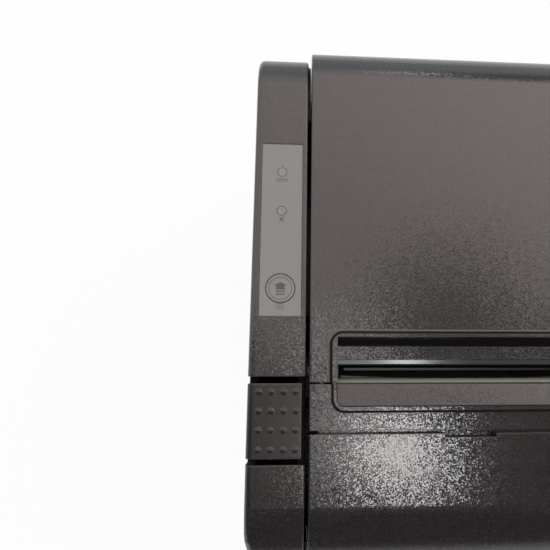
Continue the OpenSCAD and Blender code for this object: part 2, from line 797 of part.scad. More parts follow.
// Open lever: cap that wraps over the case's edge, pressed down at its front
module open_lever() {
  color(BLACK) {
    difference() {
      intersection() {
        case_form(case_z);
        on_deck() along_x(-hw - 1, lever_x1)
          polygon([[-lever_l, 3], [0, 3], [0, -8.6], [-lever_l, -6.6]]);
      }
      on_deck() block([-hw + wall, -lever_l + 1.4, -12], [lever_x1 - 1.4, -1.4, -2.2]);
      on_deck() block([-strip_in - wall - gap, -lever_l - 1, -12], [lever_x1 + 1, 1, -2.8]);
    }
    on_deck() {
      difference() {
        for (x = [-hw + wall + 1.8, lever_x1 - 3.4]) along_x(x, x + 2) {
          translate(lever_pivot) circle(r = lever_pin_d / 2 + 1.6);
          translate([lever_pivot.x - 2.4, lever_pivot.y]) square([4.2, -lever_pivot.y - 2]);
        }
        rod_x(lever_pin_d / 2 + fit, -hw, -strip_in, lever_pivot);
      }
      block([finger_x - finger_w / 2, finger_v - 1.2, finger_h],
            [finger_x + finger_w / 2, finger_v + 1.2, -2]);
      for (x = [0:3], v = [0:3])
        translate([-hw + 3.9 + dot_pitch.x * x, -2.7 - dot_pitch.y * v, dot_rise - dot_r]) sphere(r = dot_r);
    }
  }
}

module lever_pin() {
  color(STEEL) on_deck() rod_x(lever_pin_d / 2, -hw + wall, -strip_in - wall + 0.6, lever_pivot);
}

// Cross shaft of the latch with the arm under the lever's finger
module latch_shaft() {
  color(STEEL) on_deck() {
    rod_x(latch_r, finger_x - finger_w / 2 - 0.5, plate_x + sheet + 0.8, latch_at);
    along_x(finger_x - finger_w / 2, finger_x + finger_w / 2) difference() {
      polygon([[finger_v - 1.6, finger_h - 0.45], [finger_v + 1.6, finger_h - 0.45],
               [latch_at.x + 3, latch_at.y + 2.6], [latch_at.x + 3, latch_at.y - 2.6],
               [finger_v - 1.6, finger_h - 2.6]]);
      translate(latch_at) circle(latch_r);
    }
  }
}

// Hooks on the latch shaft that hold the platen's shaft down
module latch_hooks() {
  color(DARK) on_deck() both_sides() along_x(hook_x, hook_x + hook_t) difference() {
    union() {
      translate(latch_at) circle(3.4);
      polygon([[-10.3, -26], [-7, -13], [-1, -12], [6.6, -12.4], [7.4, -13.2], [7.3, -16], [4, -15.2],
               [0, -15.6], [-3.7, -26]]);
    }
    translate(latch_at) circle(latch_r);
  }
}

// Spring under the latch's arm that returns the lever
module lever_spring() {
  color(STEEL) on_deck() translate([finger_x, finger_v, latch_at.y - 11]) coil(1.9, 0.5, 5, 9.7);
}

// ---------- label and key ----------

module control_label() {
  color(GREY) on_deck() translate([label_x, 0, -label_sink]) difference() {
    block([-label_w / 2 + 0.1, label_v + 0.1, 0], [label_w / 2 - 0.1, label_v + label_l - 0.1, label_t]);
    translate([0, key_v, -1]) cylinder(d = key_d + 0.4, h = 3);
    for (v = window_v) translate([0, v, -1]) cylinder(d = window_d, h = 3);
  }
}

// Clear light pipes from the lamps to the label
module light_windows() {
  color([0.6, 0.5, 0.5]) on_deck() for (v = window_v) translate([label_x, v, board_h + 4.4]) {
    cylinder(d = window_d, h = -label_sink + label_t - board_h - 4.4);
    cylinder(d = window_d + 1.6, h = -wall - board_h - 4.4);
  }
}

// Round feed key with its retaining flange
module feed_key() {
  color(GREY) on_deck() translate([label_x, key_v, 0]) {
    translate([0, 0, -2.9]) cylinder(d = key_d, h = 2.9 - label_sink + label_t);
    translate([0, 0, -wall - gap - 1]) cylinder(d = key_d + 2.6, h = 1);
    translate([0, 0, board_h + 3.05]) cylinder(r = 2, h = -board_h - 3.05 - 2);
  }
}

// Small board under the label with the key's switch and two lamps
module control_board() {
  on_deck() {
    color(BOARD) block([label_x - 6, label_v + 2, board_h - 1.6], [label_x + 6, label_v + 56, board_h]);
    color(DARK) translate([label_x, key_v, board_h]) {
      block([-3, -3, -0.2], [3, 3, 1.6]);
      cylinder(r = 1.7, h = 2.4);
    }
    color(WHITE) for (v = window_v) translate([label_x, v, board_h - 0.2]) {
      cylinder(r = 1.5, h = 3);
      translate([0, 0, 3]) sphere(r = 1.5);
    }
  }
}

// ---------- print mechanism ----------

// Sheet metal frame that stands on the tray and carries head, gears, latch and cutter
module mechanism_frame() {
  color(STEEL) {
    both_sides() difference() {
      along_x(plate_x, plate_x + sheet) {
        translate([seam_y, seam_z]) rotate(deck_angle) difference() {
          polygon([[-38, bed_h - bed_t], [1.5, bed_h - bed_t], [3, platen_h + 4],
                   [platen_v - bush_r - 0.4, platen_h + 1], [platen_v - bush_r - 0.4, platen_h],
                   [platen_v, platen_h - bush_r - 0.4], [12.4, platen_h - 6], [10.4, -68], [-38, -68]]);
          translate([platen_v, platen_h]) circle(bush_r + 0.35);
        }
        for (y = [seam_y - 34, seam_y + 1]) translate([y, floor_z]) square([10, seam_z - 64 - floor_z]);
      }
      on_deck() for (p = [[latch_at, latch_r + fit], [rod_at, rod_r], [pinion_at, 1 + fit]])
        rod_x(p[1], 0, hw, p[0]);
    }
    on_deck() {
      block([-plate_x - 0.1, spring_wall, -28], [plate_x + 0.1, spring_wall + sheet, -12]);
      block([-plate_x - 0.1, -38, -68], [plate_x + 0.1, 8, -68 + sheet]);
    }
    both_sides() for (y = [seam_y - 34, seam_y + 1])
      block([plate_x - 9, y, floor_z], [plate_x + 0.1, y + 10, floor_z + sheet]);
  }
}

// Ceramic face of the print head, standing against the platen
module thermal_head() {
  color(WHITE) on_deck() difference() {
    block([-roll_hw + 0.5, head_front - head_t, -27], [roll_hw - 0.5, head_front, -13]);
    for (x = [-34, 34]) translate([x, head_front - 2, -24.5]) rotate([-90, 0, 0]) cylinder(r = 1, h = 4);
  }
}

// Finned aluminium sink behind the head, hung on its rod
module heat_sink() {
  v1 = head_front - head_t;
  color([0.7, 0.71, 0.73]) on_deck() difference() {
    union() {
      block([-roll_hw + 0.5, v1 - 1.5, -27], [roll_hw - 0.5, v1, -13]);
      for (h = [-26:2.6:-13.1]) block([-roll_hw + 0.5, v1 - sink_t, h], [roll_hw - 0.5, v1, h + 0.9]);
      rod_x(2.7, -roll_hw + 0.5, roll_hw - 0.5, rod_at);
    }
    rod_x(rod_r + fit, -hw, hw, rod_at);
    for (x = [-22, 22]) translate([x, v1 - sink_t - 1, -18.5]) rotate([-90, 0, 0])
      cylinder(r = 3, h = 1 + sink_t - 1.5);
  }
}

module head_rod() {
  color(STEEL) on_deck() rod_x(rod_r, -plate_x - sheet, plate_x + sheet, rod_at);
}

// Two coil springs that press the head to the platen
module head_springs() {
  seat = spring_wall + sheet;
  color(STEEL) on_deck() for (x = [-22, 22]) translate([x, seat, -18.5]) rotate([-90, 0, 0])
    coil(2.2, 0.5, 6, head_front - head_t - 1.5 - seat);
}

// Stepper that feeds the paper
module feed_motor() {
  color([0.55, 0.55, 0.57]) on_deck() difference() {
    union() {
      rod_x(motor_r, -plate_x + 0.6, -plate_x + motor_l, pinion_at);
      rod_x(motor_r - 4, -plate_x + motor_l, -plate_x + motor_l + 1, pinion_at);
      along_x(-plate_x, -plate_x + 1) {
        translate(pinion_at) circle(motor_r);
        translate([pinion_at.x - motor_r - 4, pinion_at.y - 4]) square([2 * motor_r + 5, 8]);
      }
    }
    rod_x(1.05, -hw, -plate_x + 12, pinion_at);
  }
}

module motor_pinion() {
  color(GOLD) on_deck() {
    gear_at(pinion_at, pinion_teeth, pinion_rot);
    rod_x(1, -gear_x, -plate_x + 11, pinion_at);
  }
}

module idler_gear() {
  color(WHITE) on_deck() difference() {
    gear_at(idler_at, idler_teeth, idler_rot);
    rod_x(2 + fit, -hw, 0, idler_at);
    for (a = [0:60:300]) rod_x(1.6, -hw, 0, idler_at + 6 * dir(a));
  }
}

module idler_post() {
  color(STEEL) on_deck() {
    rod_x(2, -shaft_end - 0.2, -plate_x - sheet, idler_at);
    rod_x(3, -shaft_end - 0.9, -shaft_end - 0.2, idler_at);
  }
}

// ---------- cutter ----------

// Bed and rails of the cutter, on top of the side plates
module cutter_frame() {
  color([0.66, 0.67, 0.69]) on_deck() {
    difference() {
      union() {
        block([-plate_x - sheet, -37, bed_h - bed_t], [plate_x + sheet, -6, bed_h]);
        block([-rail_x - rail_t, -7, bed_h - bed_t], [rail_x + rail_t, lip_v - 0.1, bed_h]);
      }
      translate([cut_motor_x, cut_v, bed_h - bed_t - 1]) cylinder(r = 1.4, h = 4);
      for (x = [-30, 10]) block([x, -14, bed_h - bed_t - 1], [x + 20, -4, bed_h + 1]);
    }
    both_sides() block([rail_x, -37, bed_h], [rail_x + rail_t, -0.4, blade_h + blade_t + gap]);
    translate([cut_x, cut_v, bed_h - 0.2]) cylinder(r = 1.5, h = cut_gear_h + cut_gear_t - bed_h + 0.4);
  }
}

// Curved lip in front of the paper slot, with a flange under the bezel's edge
module cutter_guard() {
  color([0.45, 0.47, 0.45]) on_deck() {
    along_x(-slot_hw + 0.2, slot_hw - 0.2) intersection() {
      translate([0.1, -4.1]) {
        square([lip_v - 0.1, 0.1]);
        circle(r = lip_v - 0.1);
      }
      translate([0.1, -5]) square([lip_v - 0.1, 5]);
    }
    block([-slot_hw + 0.2, 0.1, blade_h + blade_t + gap], [slot_hw - 0.2, 1, -4]);
    block([-slot_hw + 0.2, -2.4, floor_h - 3], [slot_hw - 0.2, 0.6, floor_h - 2]);
    both_sides() block([rail_x, 0.1, bed_h], [slot_hw - 0.2, lip_v - 0.1, -4]);
  }
}

// Black guide under the cutter that leads the paper up from the head
module paper_guide() {
  top = bed_h - bed_t;
  color(DARK) on_deck() along_x(0.6 - hook_x, hook_x - 0.6)
    polygon([[-5, top], [lip_v - 0.2, top], [head_front - 0.9, top - 2.7],
             [head_front - 1.7, top - 2.9], [0.9, top - 1.1],
             [-5, top - 1.1]]);
}

// Sliding blade with its shallow V edge and the rack on its tail
module moving_blade() {
  pitch = PI * gear_m;
  rack_x = cut_x + gear_m * rack_teeth / 2;
  first = cut_v - 6 * pitch;
  color(STEEL) on_deck() translate([0, 0, blade_h]) linear_extrude(blade_t) {
    difference() {
      polygon([[-roll_hw - 1, -19], [-roll_hw - 1, blade_edge], [0, blade_edge - 1.6], [roll_hw + 1, blade_edge],
               [roll_hw + 1, -19]]);
      for (x = [-28, 28]) translate([x, -9]) round_rect(-5, 5, -3, 3, 2.5);
    }
    polygon(concat([[rack_x + 6, -18], [rack_x + 6, first]], [[rack_x + 0.75, first]],
      [for (k = [0:8], p = [[0.75, -0.66], [-0.56, -0.19], [-0.56, 0.19], [0.75, 0.66]])
        [rack_x + p.x, cut_v + (k - 4.5) * pitch + p.y]], [[rack_x + 0.75, -18]]));
  }
}

// Two-step gear that drives the rack
module cutter_gear() {
  color(WHITE) on_deck() translate([cut_x, cut_v, 0]) difference() {
    union() {
      translate([0, 0, blade_h]) linear_extrude(blade_t + gap) gear_outline(rack_teeth);
      translate([0, 0, cut_gear_h]) linear_extrude(cut_gear_t) gear_outline(cut_teeth);
    }
    translate([0, 0, -20]) cylinder(r = 1.5 + fit, h = 30);
  }
}

module cutter_pinion() {
  color(GOLD) on_deck() translate([cut_motor_x, cut_v, 0]) {
    translate([0, 0, cut_gear_h]) linear_extrude(cut_gear_t) gear_outline(cut_pinion_teeth, cut_pinion_rot);
    translate([0, 0, bed_h - bed_t - 6]) cylinder(r = 0.8, h = cut_gear_h - bed_h + bed_t + 6.2);
  }
}

module cutter_motor() {
  color([0.55, 0.55, 0.57]) on_deck() translate([cut_motor_x, cut_v, 0]) difference() {
    union() {
      translate([0, 0, bed_h - bed_t - 20]) cylinder(r = cut_motor_r, h = 20);
      translate([0, 0, bed_h - bed_t - 21.5]) cylinder(r = 3, h = 3);
    }
    translate([0, 0, bed_h - bed_t - 8]) cylinder(r = 0.85, h = 20);
  }
}

// ---------- electronics ----------

module main_board() {
  color(BOARD) difference() {
    block([-44, bucket_y - 36, pcb_z], [44, back_wall - 3, socket_z]);
    both_sides() translate([38, back_wall - 8, 0]) cylinder(r = 1.6, h = 40);
  }
  color(DARK) {
    block([-22, bucket_y - 30, socket_z - 0.1], [-8, bucket_y - 16, socket_z + 1.4]);
    block([4, bucket_y - 28, socket_z - 0.1], [12, bucket_y - 18, socket_z + 1.2]);
    for (x = [24, 33]) translate([x, bucket_y - 28, socket_z - 0.1]) cylinder(r = 3.4, h = 4);
    block([-40, bucket_y - 34, socket_z - 0.1], [-30, bucket_y - 30, socket_z + 5]);
  }
}

module power_socket() {
  color(DARK) difference() {
    union() {
      translate([power_x, back_wall - 12, socket_z + 7]) rotate([-90, 0, 0]) cylinder(r = 6.6, h = 13.6);
      block([power_x - 7, back_wall - 12, socket_z], [power_x + 7, back_wall - 0.2, socket_z + 9]);
    }
    translate([power_x, back_wall - 7, socket_z + 7]) rotate([-90, 0, 0]) cylinder(r = 5.4, h = 20);
  }
  color(GOLD) for (a = [90, 210, 330])
    translate([power_x + 3 * cos(a), back_wall - 7.5, socket_z + 7 + 3 * sin(a)])
    rotate([-90, 0, 0]) cylinder(r = 0.5, h = 2.5);
}

// Box-shaped socket with an open mouth at the back
module box_socket(x, half, tall, tongue, shade) {
  color(shade) difference() {
    block([x - half, back_wall - 13, socket_z], [x + half, back_wall + 1.4, socket_z + tall]);
    block([x - half + 1, back_wall - 9, socket_z + 1], [x + half - 1, y_back, socket_z + tall - 1]);
  }
  color(GOLD) block([x - half + 2.5, back_wall - 9.2, socket_z + tongue],
                    [x + half - 2.5, back_wall - 2, socket_z + tongue + 1]);
}

module drawer_socket() {
  box_socket(drawer_x, 7, 13, 2.4, DARK);
}

module usb_socket() {
  box_socket(usb_x, 6.2, 11.2, 4.2, STEEL);
}

module network_socket() {
  box_socket(net_x, 8.2, 13.7, 2.4, STEEL);
}

// Bezel and body of the power switch in the right side
module switch_body() {
  x1 = hw - back_taper - 0.4;
  color(DARK) difference() {
    block([x1 - 12, switch_y - 9.8, switch_z - 6.8], [x1, switch_y + 9.8, switch_z + 6.8]);
    block([x1 - 7, switch_y - 7.6, switch_z - 4.6], [x1 + 1, switch_y + 7.6, switch_z + 4.6]);
    translate([x1 - 3, switch_y, switch_z - 6]) cylinder(r = 0.8, h = 12);
  }
}

module power_rocker() {
  x1 = hw - back_taper - 0.4;
  color(BLACK) translate([x1 - 3, switch_y, switch_z]) rotate([0, 0, -6]) {
    translate([0, 0, -4.3]) linear_extrude(8.6)
      polygon([[-1.6, -6.6], [2.2, -6.9], [1.7, 0], [2.2, 6.9], [-1.6, 6.6], [-2.2, 0]]);
    translate([0, 0, -5.6]) cylinder(r = 0.8 - fit, h = 11.2);
  }
}

base_tray();
rubber_feet();
case_screws();
upper_case();
hinge_pins();
paper_bucket();
paper_sensor();
top_cover();
cover_liner();
cover_screws();
tear_bar_holder();
tear_blade();
platen_bushes();
platen_shaft();
platen_rubber();
platen_gear();
exit_bezel();
front_cover();
open_lever();
lever_pin();
latch_shaft();
latch_hooks();
lever_spring();
control_label();
light_windows();
feed_key();
control_board();
mechanism_frame();
thermal_head();
heat_sink();
head_rod();
head_springs();
feed_motor();
motor_pinion();
idler_gear();
idler_post();
cutter_frame();
cutter_guard();
paper_guide();
moving_blade();
cutter_gear();
cutter_pinion();
cutter_motor();
main_board();
power_socket();
drawer_socket();
usb_socket();
network_socket();
switch_body();
power_rocker();
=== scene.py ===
import bmesh
import bpy
import math
from mathutils import Matrix, Vector


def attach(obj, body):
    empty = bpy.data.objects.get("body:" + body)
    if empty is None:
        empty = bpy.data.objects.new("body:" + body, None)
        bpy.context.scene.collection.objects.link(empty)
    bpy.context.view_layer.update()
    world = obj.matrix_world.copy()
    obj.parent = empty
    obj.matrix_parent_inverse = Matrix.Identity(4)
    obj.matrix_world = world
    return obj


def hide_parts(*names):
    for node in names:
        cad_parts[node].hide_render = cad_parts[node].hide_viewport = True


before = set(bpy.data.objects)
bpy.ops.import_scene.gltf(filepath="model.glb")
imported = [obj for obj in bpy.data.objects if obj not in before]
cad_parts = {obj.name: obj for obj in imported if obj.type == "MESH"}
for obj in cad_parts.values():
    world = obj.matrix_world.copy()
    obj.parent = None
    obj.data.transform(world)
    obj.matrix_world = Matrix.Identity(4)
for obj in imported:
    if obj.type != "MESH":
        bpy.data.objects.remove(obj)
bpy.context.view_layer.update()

# ---- Camera over the deck ---------------------------------------------------------------------------
# The printer's deck slopes 4 degrees, and everything on it is placed in the deck's own axes: x across,
# v along it from the seam between cover and bezel towards the back, h up from its surface.
mm = 0.001
seam_y = -31 * mm
seam_z = 129.056 * mm
deck_slope = math.radians(4)
deck = Matrix.Translation((0, seam_y, seam_z)) @ Matrix.Rotation(deck_slope, 4, 'X')


def on_deck(x, v, h):
    """A point from its place in the deck's axes, in millimetres."""
    return deck @ Vector((x * mm, v * mm, h * mm))


picture_width = 550
sensor_width = 36
camera_at = on_deck(-55.51, 0.47, 195.34)
aim_at = on_deck(-39.80, 36.28, 0)
camera_roll = math.radians(17.74)
focal_px = 594.44
centre_px = (348.39, 273.08)

camera_data = bpy.data.cameras.new("camera")
camera_data.sensor_width = sensor_width
camera_data.lens = focal_px * sensor_width / picture_width
camera_data.shift_x = -(centre_px[0] - picture_width / 2) / picture_width
camera_data.shift_y = (centre_px[1] - picture_width / 2) / picture_width
camera_data.clip_start = 0.01
camera = bpy.data.objects.new("camera", camera_data)
bpy.context.collection.objects.link(camera)
camera.matrix_world = (Matrix.Translation(camera_at)
                       @ (aim_at - camera_at).to_track_quat('-Z', 'Y').to_matrix().to_4x4()
                       @ Matrix.Rotation(camera_roll, 4, 'Z'))
bpy.context.scene.camera = camera
bpy.context.scene.view_settings.view_transform = 'Standard'


# ---- Studio -----------------------------------------------------------------------------------------
# A white paper floor in a room with pale walls. The ceiling is bright towards the back and dim over the
# front, with the shade of someone leaning over, and a small window stands above the printer's front.
def new_material(name):
    """An empty material and the tree that its nodes go into."""
    material = bpy.data.materials.new(name)
    material.use_nodes = True
    material.node_tree.nodes.clear()
    return material, material.node_tree


def add_node(tree, kind, inputs=None, **settings):
    """Adds a shader node. Each of its inputs is given a value, or the output that feeds it."""
    node = tree.nodes.new("ShaderNode" + kind)
    for name, value in settings.items():
        setattr(node, name, value)
    for name, value in (inputs or {}).items():
        if isinstance(value, bpy.types.NodeSocket):
            tree.links.new(value, node.inputs[name])
        else:
            node.inputs[name].default_value = value
    return node


def blend(tree, below, above, share):
    """One colour over another; each is a colour or an output, and share is an output."""
    inputs = {"A": below, "B": above, "Factor": share}
    return add_node(tree, "Mix", inputs, data_type='RGBA').outputs["Result"]


floor_size = 8.0
paper_white = (0.9, 0.9, 0.9, 1)
shadow_share = 0.06

bm = bmesh.new()
bmesh.ops.create_grid(bm, x_segments=1, y_segments=1, size=floor_size / 2)
floor_mesh = bpy.data.meshes.new("floor")
bm.to_mesh(floor_mesh)
bm.free()
floor = bpy.data.objects.new("floor", floor_mesh)
bpy.context.collection.objects.link(floor)

paper, tree = new_material("white paper floor")
lit = add_node(tree, "BsdfDiffuse", {"Color": paper_white})
glow = add_node(tree, "Emission", {"Strength": 1.0})
rays = add_node(tree, "LightPath").outputs
seen = rays["Is Camera Ray"]
for ray in ("Is Glossy Ray", "Is Transmission Ray"):
    seen = add_node(tree, "Math", {0: seen, 1: rays[ray]}, operation='MAXIMUM').outputs[0]
white = add_node(tree, "Math", {0: seen, 1: 1 - shadow_share}, operation='MULTIPLY').outputs[0]
mix = add_node(tree, "MixShader", {"Fac": white, 1: lit.outputs["BSDF"], 2: glow.outputs["Emission"]})
add_node(tree, "OutputMaterial", {"Surface": mix.outputs["Shader"]})
floor_mesh.materials.append(paper)

# Each layer of the room has a colour, the direction of its middle, and the two cosines between which it
# rises from nothing to its full share.
room_white = (1, 1, 1, 1)
wall_pale = (0.70, 0.68, 0.67, 1)
wall_top = (0.03, 0.20)
upwards = (0, 0, 1)
backwards = (0, 1, 0)
front_dark = (0.11, 0.105, 0.11, 1)
front_edge = (-0.05, 0.06)
overhead_pale = (1.62, 1.44, 1.42, 1)
overhead_left = (-0.02, -0.06, 0.998)
left_edge = (0.962, 0.992)
left_share = 0.20
overhead_mid = (0.085, 0.0, 0.996)
mid_edge = (0.9900, 0.9985)
mid_share = 0.45
back_bright = (2.6, 2.28, 2.22, 1)
back_right = (0.5, 0.87, 0)
bright_rise = (0.12, 0.62)
back_wall = (0.80, 0.86, 0.92, 1)
wall_rise = (0.38, 0.95)
onlooker = (0.235, 0.03, 0.971)
onlooker_edge = (0.987, 0.9993)
onlooker_dark = 0.85
lamp_spot = (0.068, -0.030, 0.997)
spot_edge = (0.9978, 0.9993)
spot_bright = (4.2, 4.0, 3.9, 1)
dark_door = (0.355, 0.725, 0.590)
door_edge = (0.972, 0.993)
door_share = 0.8
back_lamp = (0.1735, 0.7544, 0.6330)
back_lamp_edge = (0.9991, 0.99975)
back_lamp_bright = (9.5, 9.5, 9.1, 1)

world = bpy.data.worlds.new("room")
world.use_nodes = True
bpy.context.scene.world = world
sky = world.node_tree
sky.nodes.clear()
around = add_node(sky, "TexCoord").outputs["Generated"]


def rise(direction, span, top=1.0):
    """How far a direction of the room lies towards another, from 0 to top across the span."""
    along = add_node(sky, "VectorMath", {0: around, 1: direction}, operation='DOT_PRODUCT').outputs["Value"]
    limits = {"Value": along, "From Min": span[0], "From Max": span[1], "To Max": top}
    return add_node(sky, "MapRange", limits, interpolation_type='SMOOTHSTEP').outputs["Result"]


ceiling = blend(sky, front_dark, overhead_pale, rise(backwards, front_edge))
ceiling = blend(sky, ceiling, overhead_pale, rise(overhead_left, left_edge, left_share))
ceiling = blend(sky, ceiling, overhead_pale, rise(overhead_mid, mid_edge, mid_share))
ceiling = blend(sky, ceiling, back_bright, rise(back_right, bright_rise))
ceiling = blend(sky, ceiling, back_wall, rise(backwards, wall_rise))
ceiling = blend(sky, ceiling, front_dark, rise(onlooker, onlooker_edge, onlooker_dark))
ceiling = blend(sky, ceiling, spot_bright, rise(lamp_spot, spot_edge))
room = blend(sky, wall_pale, ceiling, rise(upwards, wall_top))
room = blend(sky, room, front_dark, rise(dark_door, door_edge, door_share))
room = blend(sky, room, back_lamp_bright, rise(back_lamp, back_lamp_edge))
room = blend(sky, room, room_white, add_node(sky, "LightPath").outputs["Is Camera Ray"])
backdrop = add_node(sky, "Background", {"Color": room})
add_node(sky, "OutputWorld", {"Surface": backdrop.outputs["Background"]})

window_tint = (1, 0.98, 0.97)
lamp_height = 600


def soft_box(name, x, v, size, radiance):
    """A rectangular lamp straight above the deck point x, v, shining down on it."""
    light = bpy.data.lights.new(name, 'AREA')
    light.shape = 'RECTANGLE'
    light.size, light.size_y = size[0] * mm, size[1] * mm
    light.energy = radiance * math.pi * light.size * light.size_y
    light.color = window_tint
    lamp = bpy.data.objects.new(name, light)
    bpy.context.collection.objects.link(lamp)
    lamp.matrix_world = deck @ Matrix.Translation(Vector((x, v, lamp_height)) * mm)


soft_box("window pane", 77, -90, (104, 98), 10.8)
soft_box("window reveal", -8, -84, (80, 112), 1.7)


# ---- Lower case -------------------------------------------------------------------------------------
# A moulded tray of black ABS with a spark-eroded grain, a pocket for the main board and four screw posts.
# Its edges are slightly rounded and paler, partly from wear and partly as a painted highlight, and its colour
# is never quite even.
def new_group(name, size_label, size, *outputs):
    """A shader group that reads a place and one size in metres, and puts out masks or heights."""
    group = bpy.data.node_groups.new(name, 'ShaderNodeTree')
    group.interface.new_socket(name="Vector", in_out='INPUT', socket_type='NodeSocketVector')
    dial = group.interface.new_socket(name=size_label, in_out='INPUT', socket_type='NodeSocketFloat')
    dial.default_value = size
    for label in outputs:
        group.interface.new_socket(name=label, in_out='OUTPUT', socket_type='NodeSocketFloat')
    given = group.nodes.new("NodeGroupInput").outputs
    result = group.nodes.new("NodeGroupOutput").inputs
    return group, given, result


middle_grey = (0.5, 0.5, 0.5)
noise_share = 0.3
tip_span = (0.56, 0.72)

# Each cell of the grain is a small facet that leans its own way, with a finer noise on top.
grain_group, given, result = new_group("moulded grain", "Size", 0.0005, "Height", "Painted sparkle")
pitch = add_node(grain_group, "Math", {0: 1.0, 1: given["Size"]}, operation='DIVIDE').outputs[0]
facets = add_node(grain_group, "TexVoronoi", {"Vector": given["Vector"], "Scale": pitch}).outputs
offset = add_node(grain_group, "VectorMath", {0: given["Vector"], 1: facets["Position"]},
                  operation='SUBTRACT')
in_cell = add_node(grain_group, "VectorMath", {0: offset.outputs["Vector"], "Scale": pitch},
                   operation='SCALE')
lean = add_node(grain_group, "VectorMath", {0: facets["Color"], 1: middle_grey}, operation='SUBTRACT')
tilted = add_node(grain_group, "VectorMath", {0: in_cell.outputs["Vector"], 1: lean.outputs["Vector"]},
                  operation='DOT_PRODUCT').outputs["Value"]
fine = add_node(grain_group, "TexNoise",
                {"Vector": given["Vector"], "Scale": pitch, "Detail": 2}).outputs["Fac"]
height = add_node(grain_group, "Math", {0: fine, 1: noise_share, 2: tilted}, operation='MULTIPLY_ADD')
# The tips of the finer noise are where light flecks of painted sparkle go into the colour.
tips = add_node(grain_group, "MapRange", {"Value": fine, "From Min": tip_span[0], "From Max": tip_span[1]})
grain_group.links.new(height.outputs[0], result["Height"])
grain_group.links.new(tips.outputs["Result"], result["Painted sparkle"])

bevel_samples = 4
bend_span = (0.995, 0.80)
patch_scale = 260

# An edge shows where the rounded normal leaves the face's own, and is painted paler in patches: partly wear,
# partly painted highlight.
edge_group, given, result = new_group("edge wear with painted highlight", "Width", 0.0005, "Edge")
rounded = add_node(edge_group, "Bevel", {"Radius": given["Width"]}, samples=bevel_samples).outputs["Normal"]
flat = add_node(edge_group, "NewGeometry").outputs["Normal"]
agree = add_node(edge_group, "VectorMath", {0: rounded, 1: flat}, operation='DOT_PRODUCT').outputs["Value"]
bend = add_node(edge_group, "MapRange", {"Value": agree, "From Min": bend_span[0], "From Max": bend_span[1]})
patchy = add_node(edge_group, "TexNoise", {"Vector": given["Vector"], "Scale": patch_scale, "Detail": 3})
worn_and_lit_edge = add_node(edge_group, "Math", {0: bend.outputs["Result"], 1: patchy.outputs["Fac"]},
                  operation='MULTIPLY')
edge_group.links.new(worn_and_lit_edge.outputs[0], result["Edge"])

cloud_group, given, result = new_group("uneven tone", "Size", 0.02, "Tone")
pitch = add_node(cloud_group, "Math", {0: 1.0, 1: given["Size"]}, operation='DIVIDE').outputs[0]
cloud = add_node(cloud_group, "TexNoise", {"Vector": given["Vector"], "Scale": pitch, "Detail": 4})
cloud_group.links.new(cloud.outputs["Fac"], result["Tone"])


def linear(*rgb):
    """A colour as it is mixed, from its red, green and blue as a screen shows them, from 0 to 255."""
    values = [c / 255 for c in rgb]
    return tuple(c / 12.92 if c <= 0.04045 else ((c + 0.055) / 1.055) ** 2.4 for c in values) + (1,)


# Light grey flecks of painted sparkle, standing in for tips of the grain that catch the light.
painted_sparkle_grey = linear(112, 106, 106)
shine_spread = 0.04
# The edges' pale colour is partly wear and partly painted highlight; by default it is the pale tone made
# lighter.
highlight_gain = 3
highlight_lift = 0.02


def finish(name, dark, pale, roughness, metallic=0.0, grain=0.0005, depth=0.004, edge=0.3, wear_and_highlight=0.5,
           wear_and_highlight_colour=None, stretch=(1, 1, 1), specular=0.5, painted_sparkle=0.0):
    """A procedural finish: two tones in soft clouds, grain in the bump with flecks of painted sparkle,
    rounded edges with wear and painted highlight.

    Grain is in metres; depth and edge are in millimetres.
    """
    wear_and_highlight_colour = wear_and_highlight_colour or tuple(min(1, c * highlight_gain + highlight_lift) for c in pale[:3]) + (1,)
    material, tree = new_material(name)
    place = add_node(tree, "TexCoord").outputs["Object"]
    drawn = add_node(tree, "Mapping", {"Vector": place, "Scale": stretch}).outputs["Vector"]
    tone = add_node(tree, "Group", {"Vector": drawn}, node_tree=cloud_group).outputs["Tone"]
    pattern = add_node(tree, "Group", {"Vector": drawn, "Size": grain}, node_tree=grain_group).outputs
    worn_and_lit = add_node(tree, "Group", {"Vector": place, "Width": edge * mm}, node_tree=edge_group).outputs
    colour = blend(tree, dark, pale, tone)
    for mask, share, over in ((pattern["Painted sparkle"], painted_sparkle, painted_sparkle_grey), (worn_and_lit["Edge"], wear_and_highlight, wear_and_highlight_colour)):
        cover = add_node(tree, "Math", {0: mask, 1: share}, operation='MULTIPLY').outputs[0]
        colour = blend(tree, colour, over, cover)
    shine = add_node(tree, "MapRange", {"Value": tone, "To Min": roughness - shine_spread,
                                        "To Max": roughness + shine_spread})
    soft_edge = add_node(tree, "Bevel", {"Radius": edge * mm}, samples=bevel_samples)
    bump = add_node(tree, "Bump", {"Height": pattern["Height"], "Normal": soft_edge.outputs["Normal"],
                                   "Strength": 1.0, "Distance": depth * mm})
    surface = add_node(tree, "BsdfPrincipled", {
        "Base Color": colour, "Metallic": metallic, "Roughness": shine.outputs["Result"],
        "Specular IOR Level": specular, "Normal": bump.outputs["Normal"]})
    add_node(tree, "OutputMaterial", {"Surface": surface.outputs["BSDF"]})
    return material


big_face_power = 4


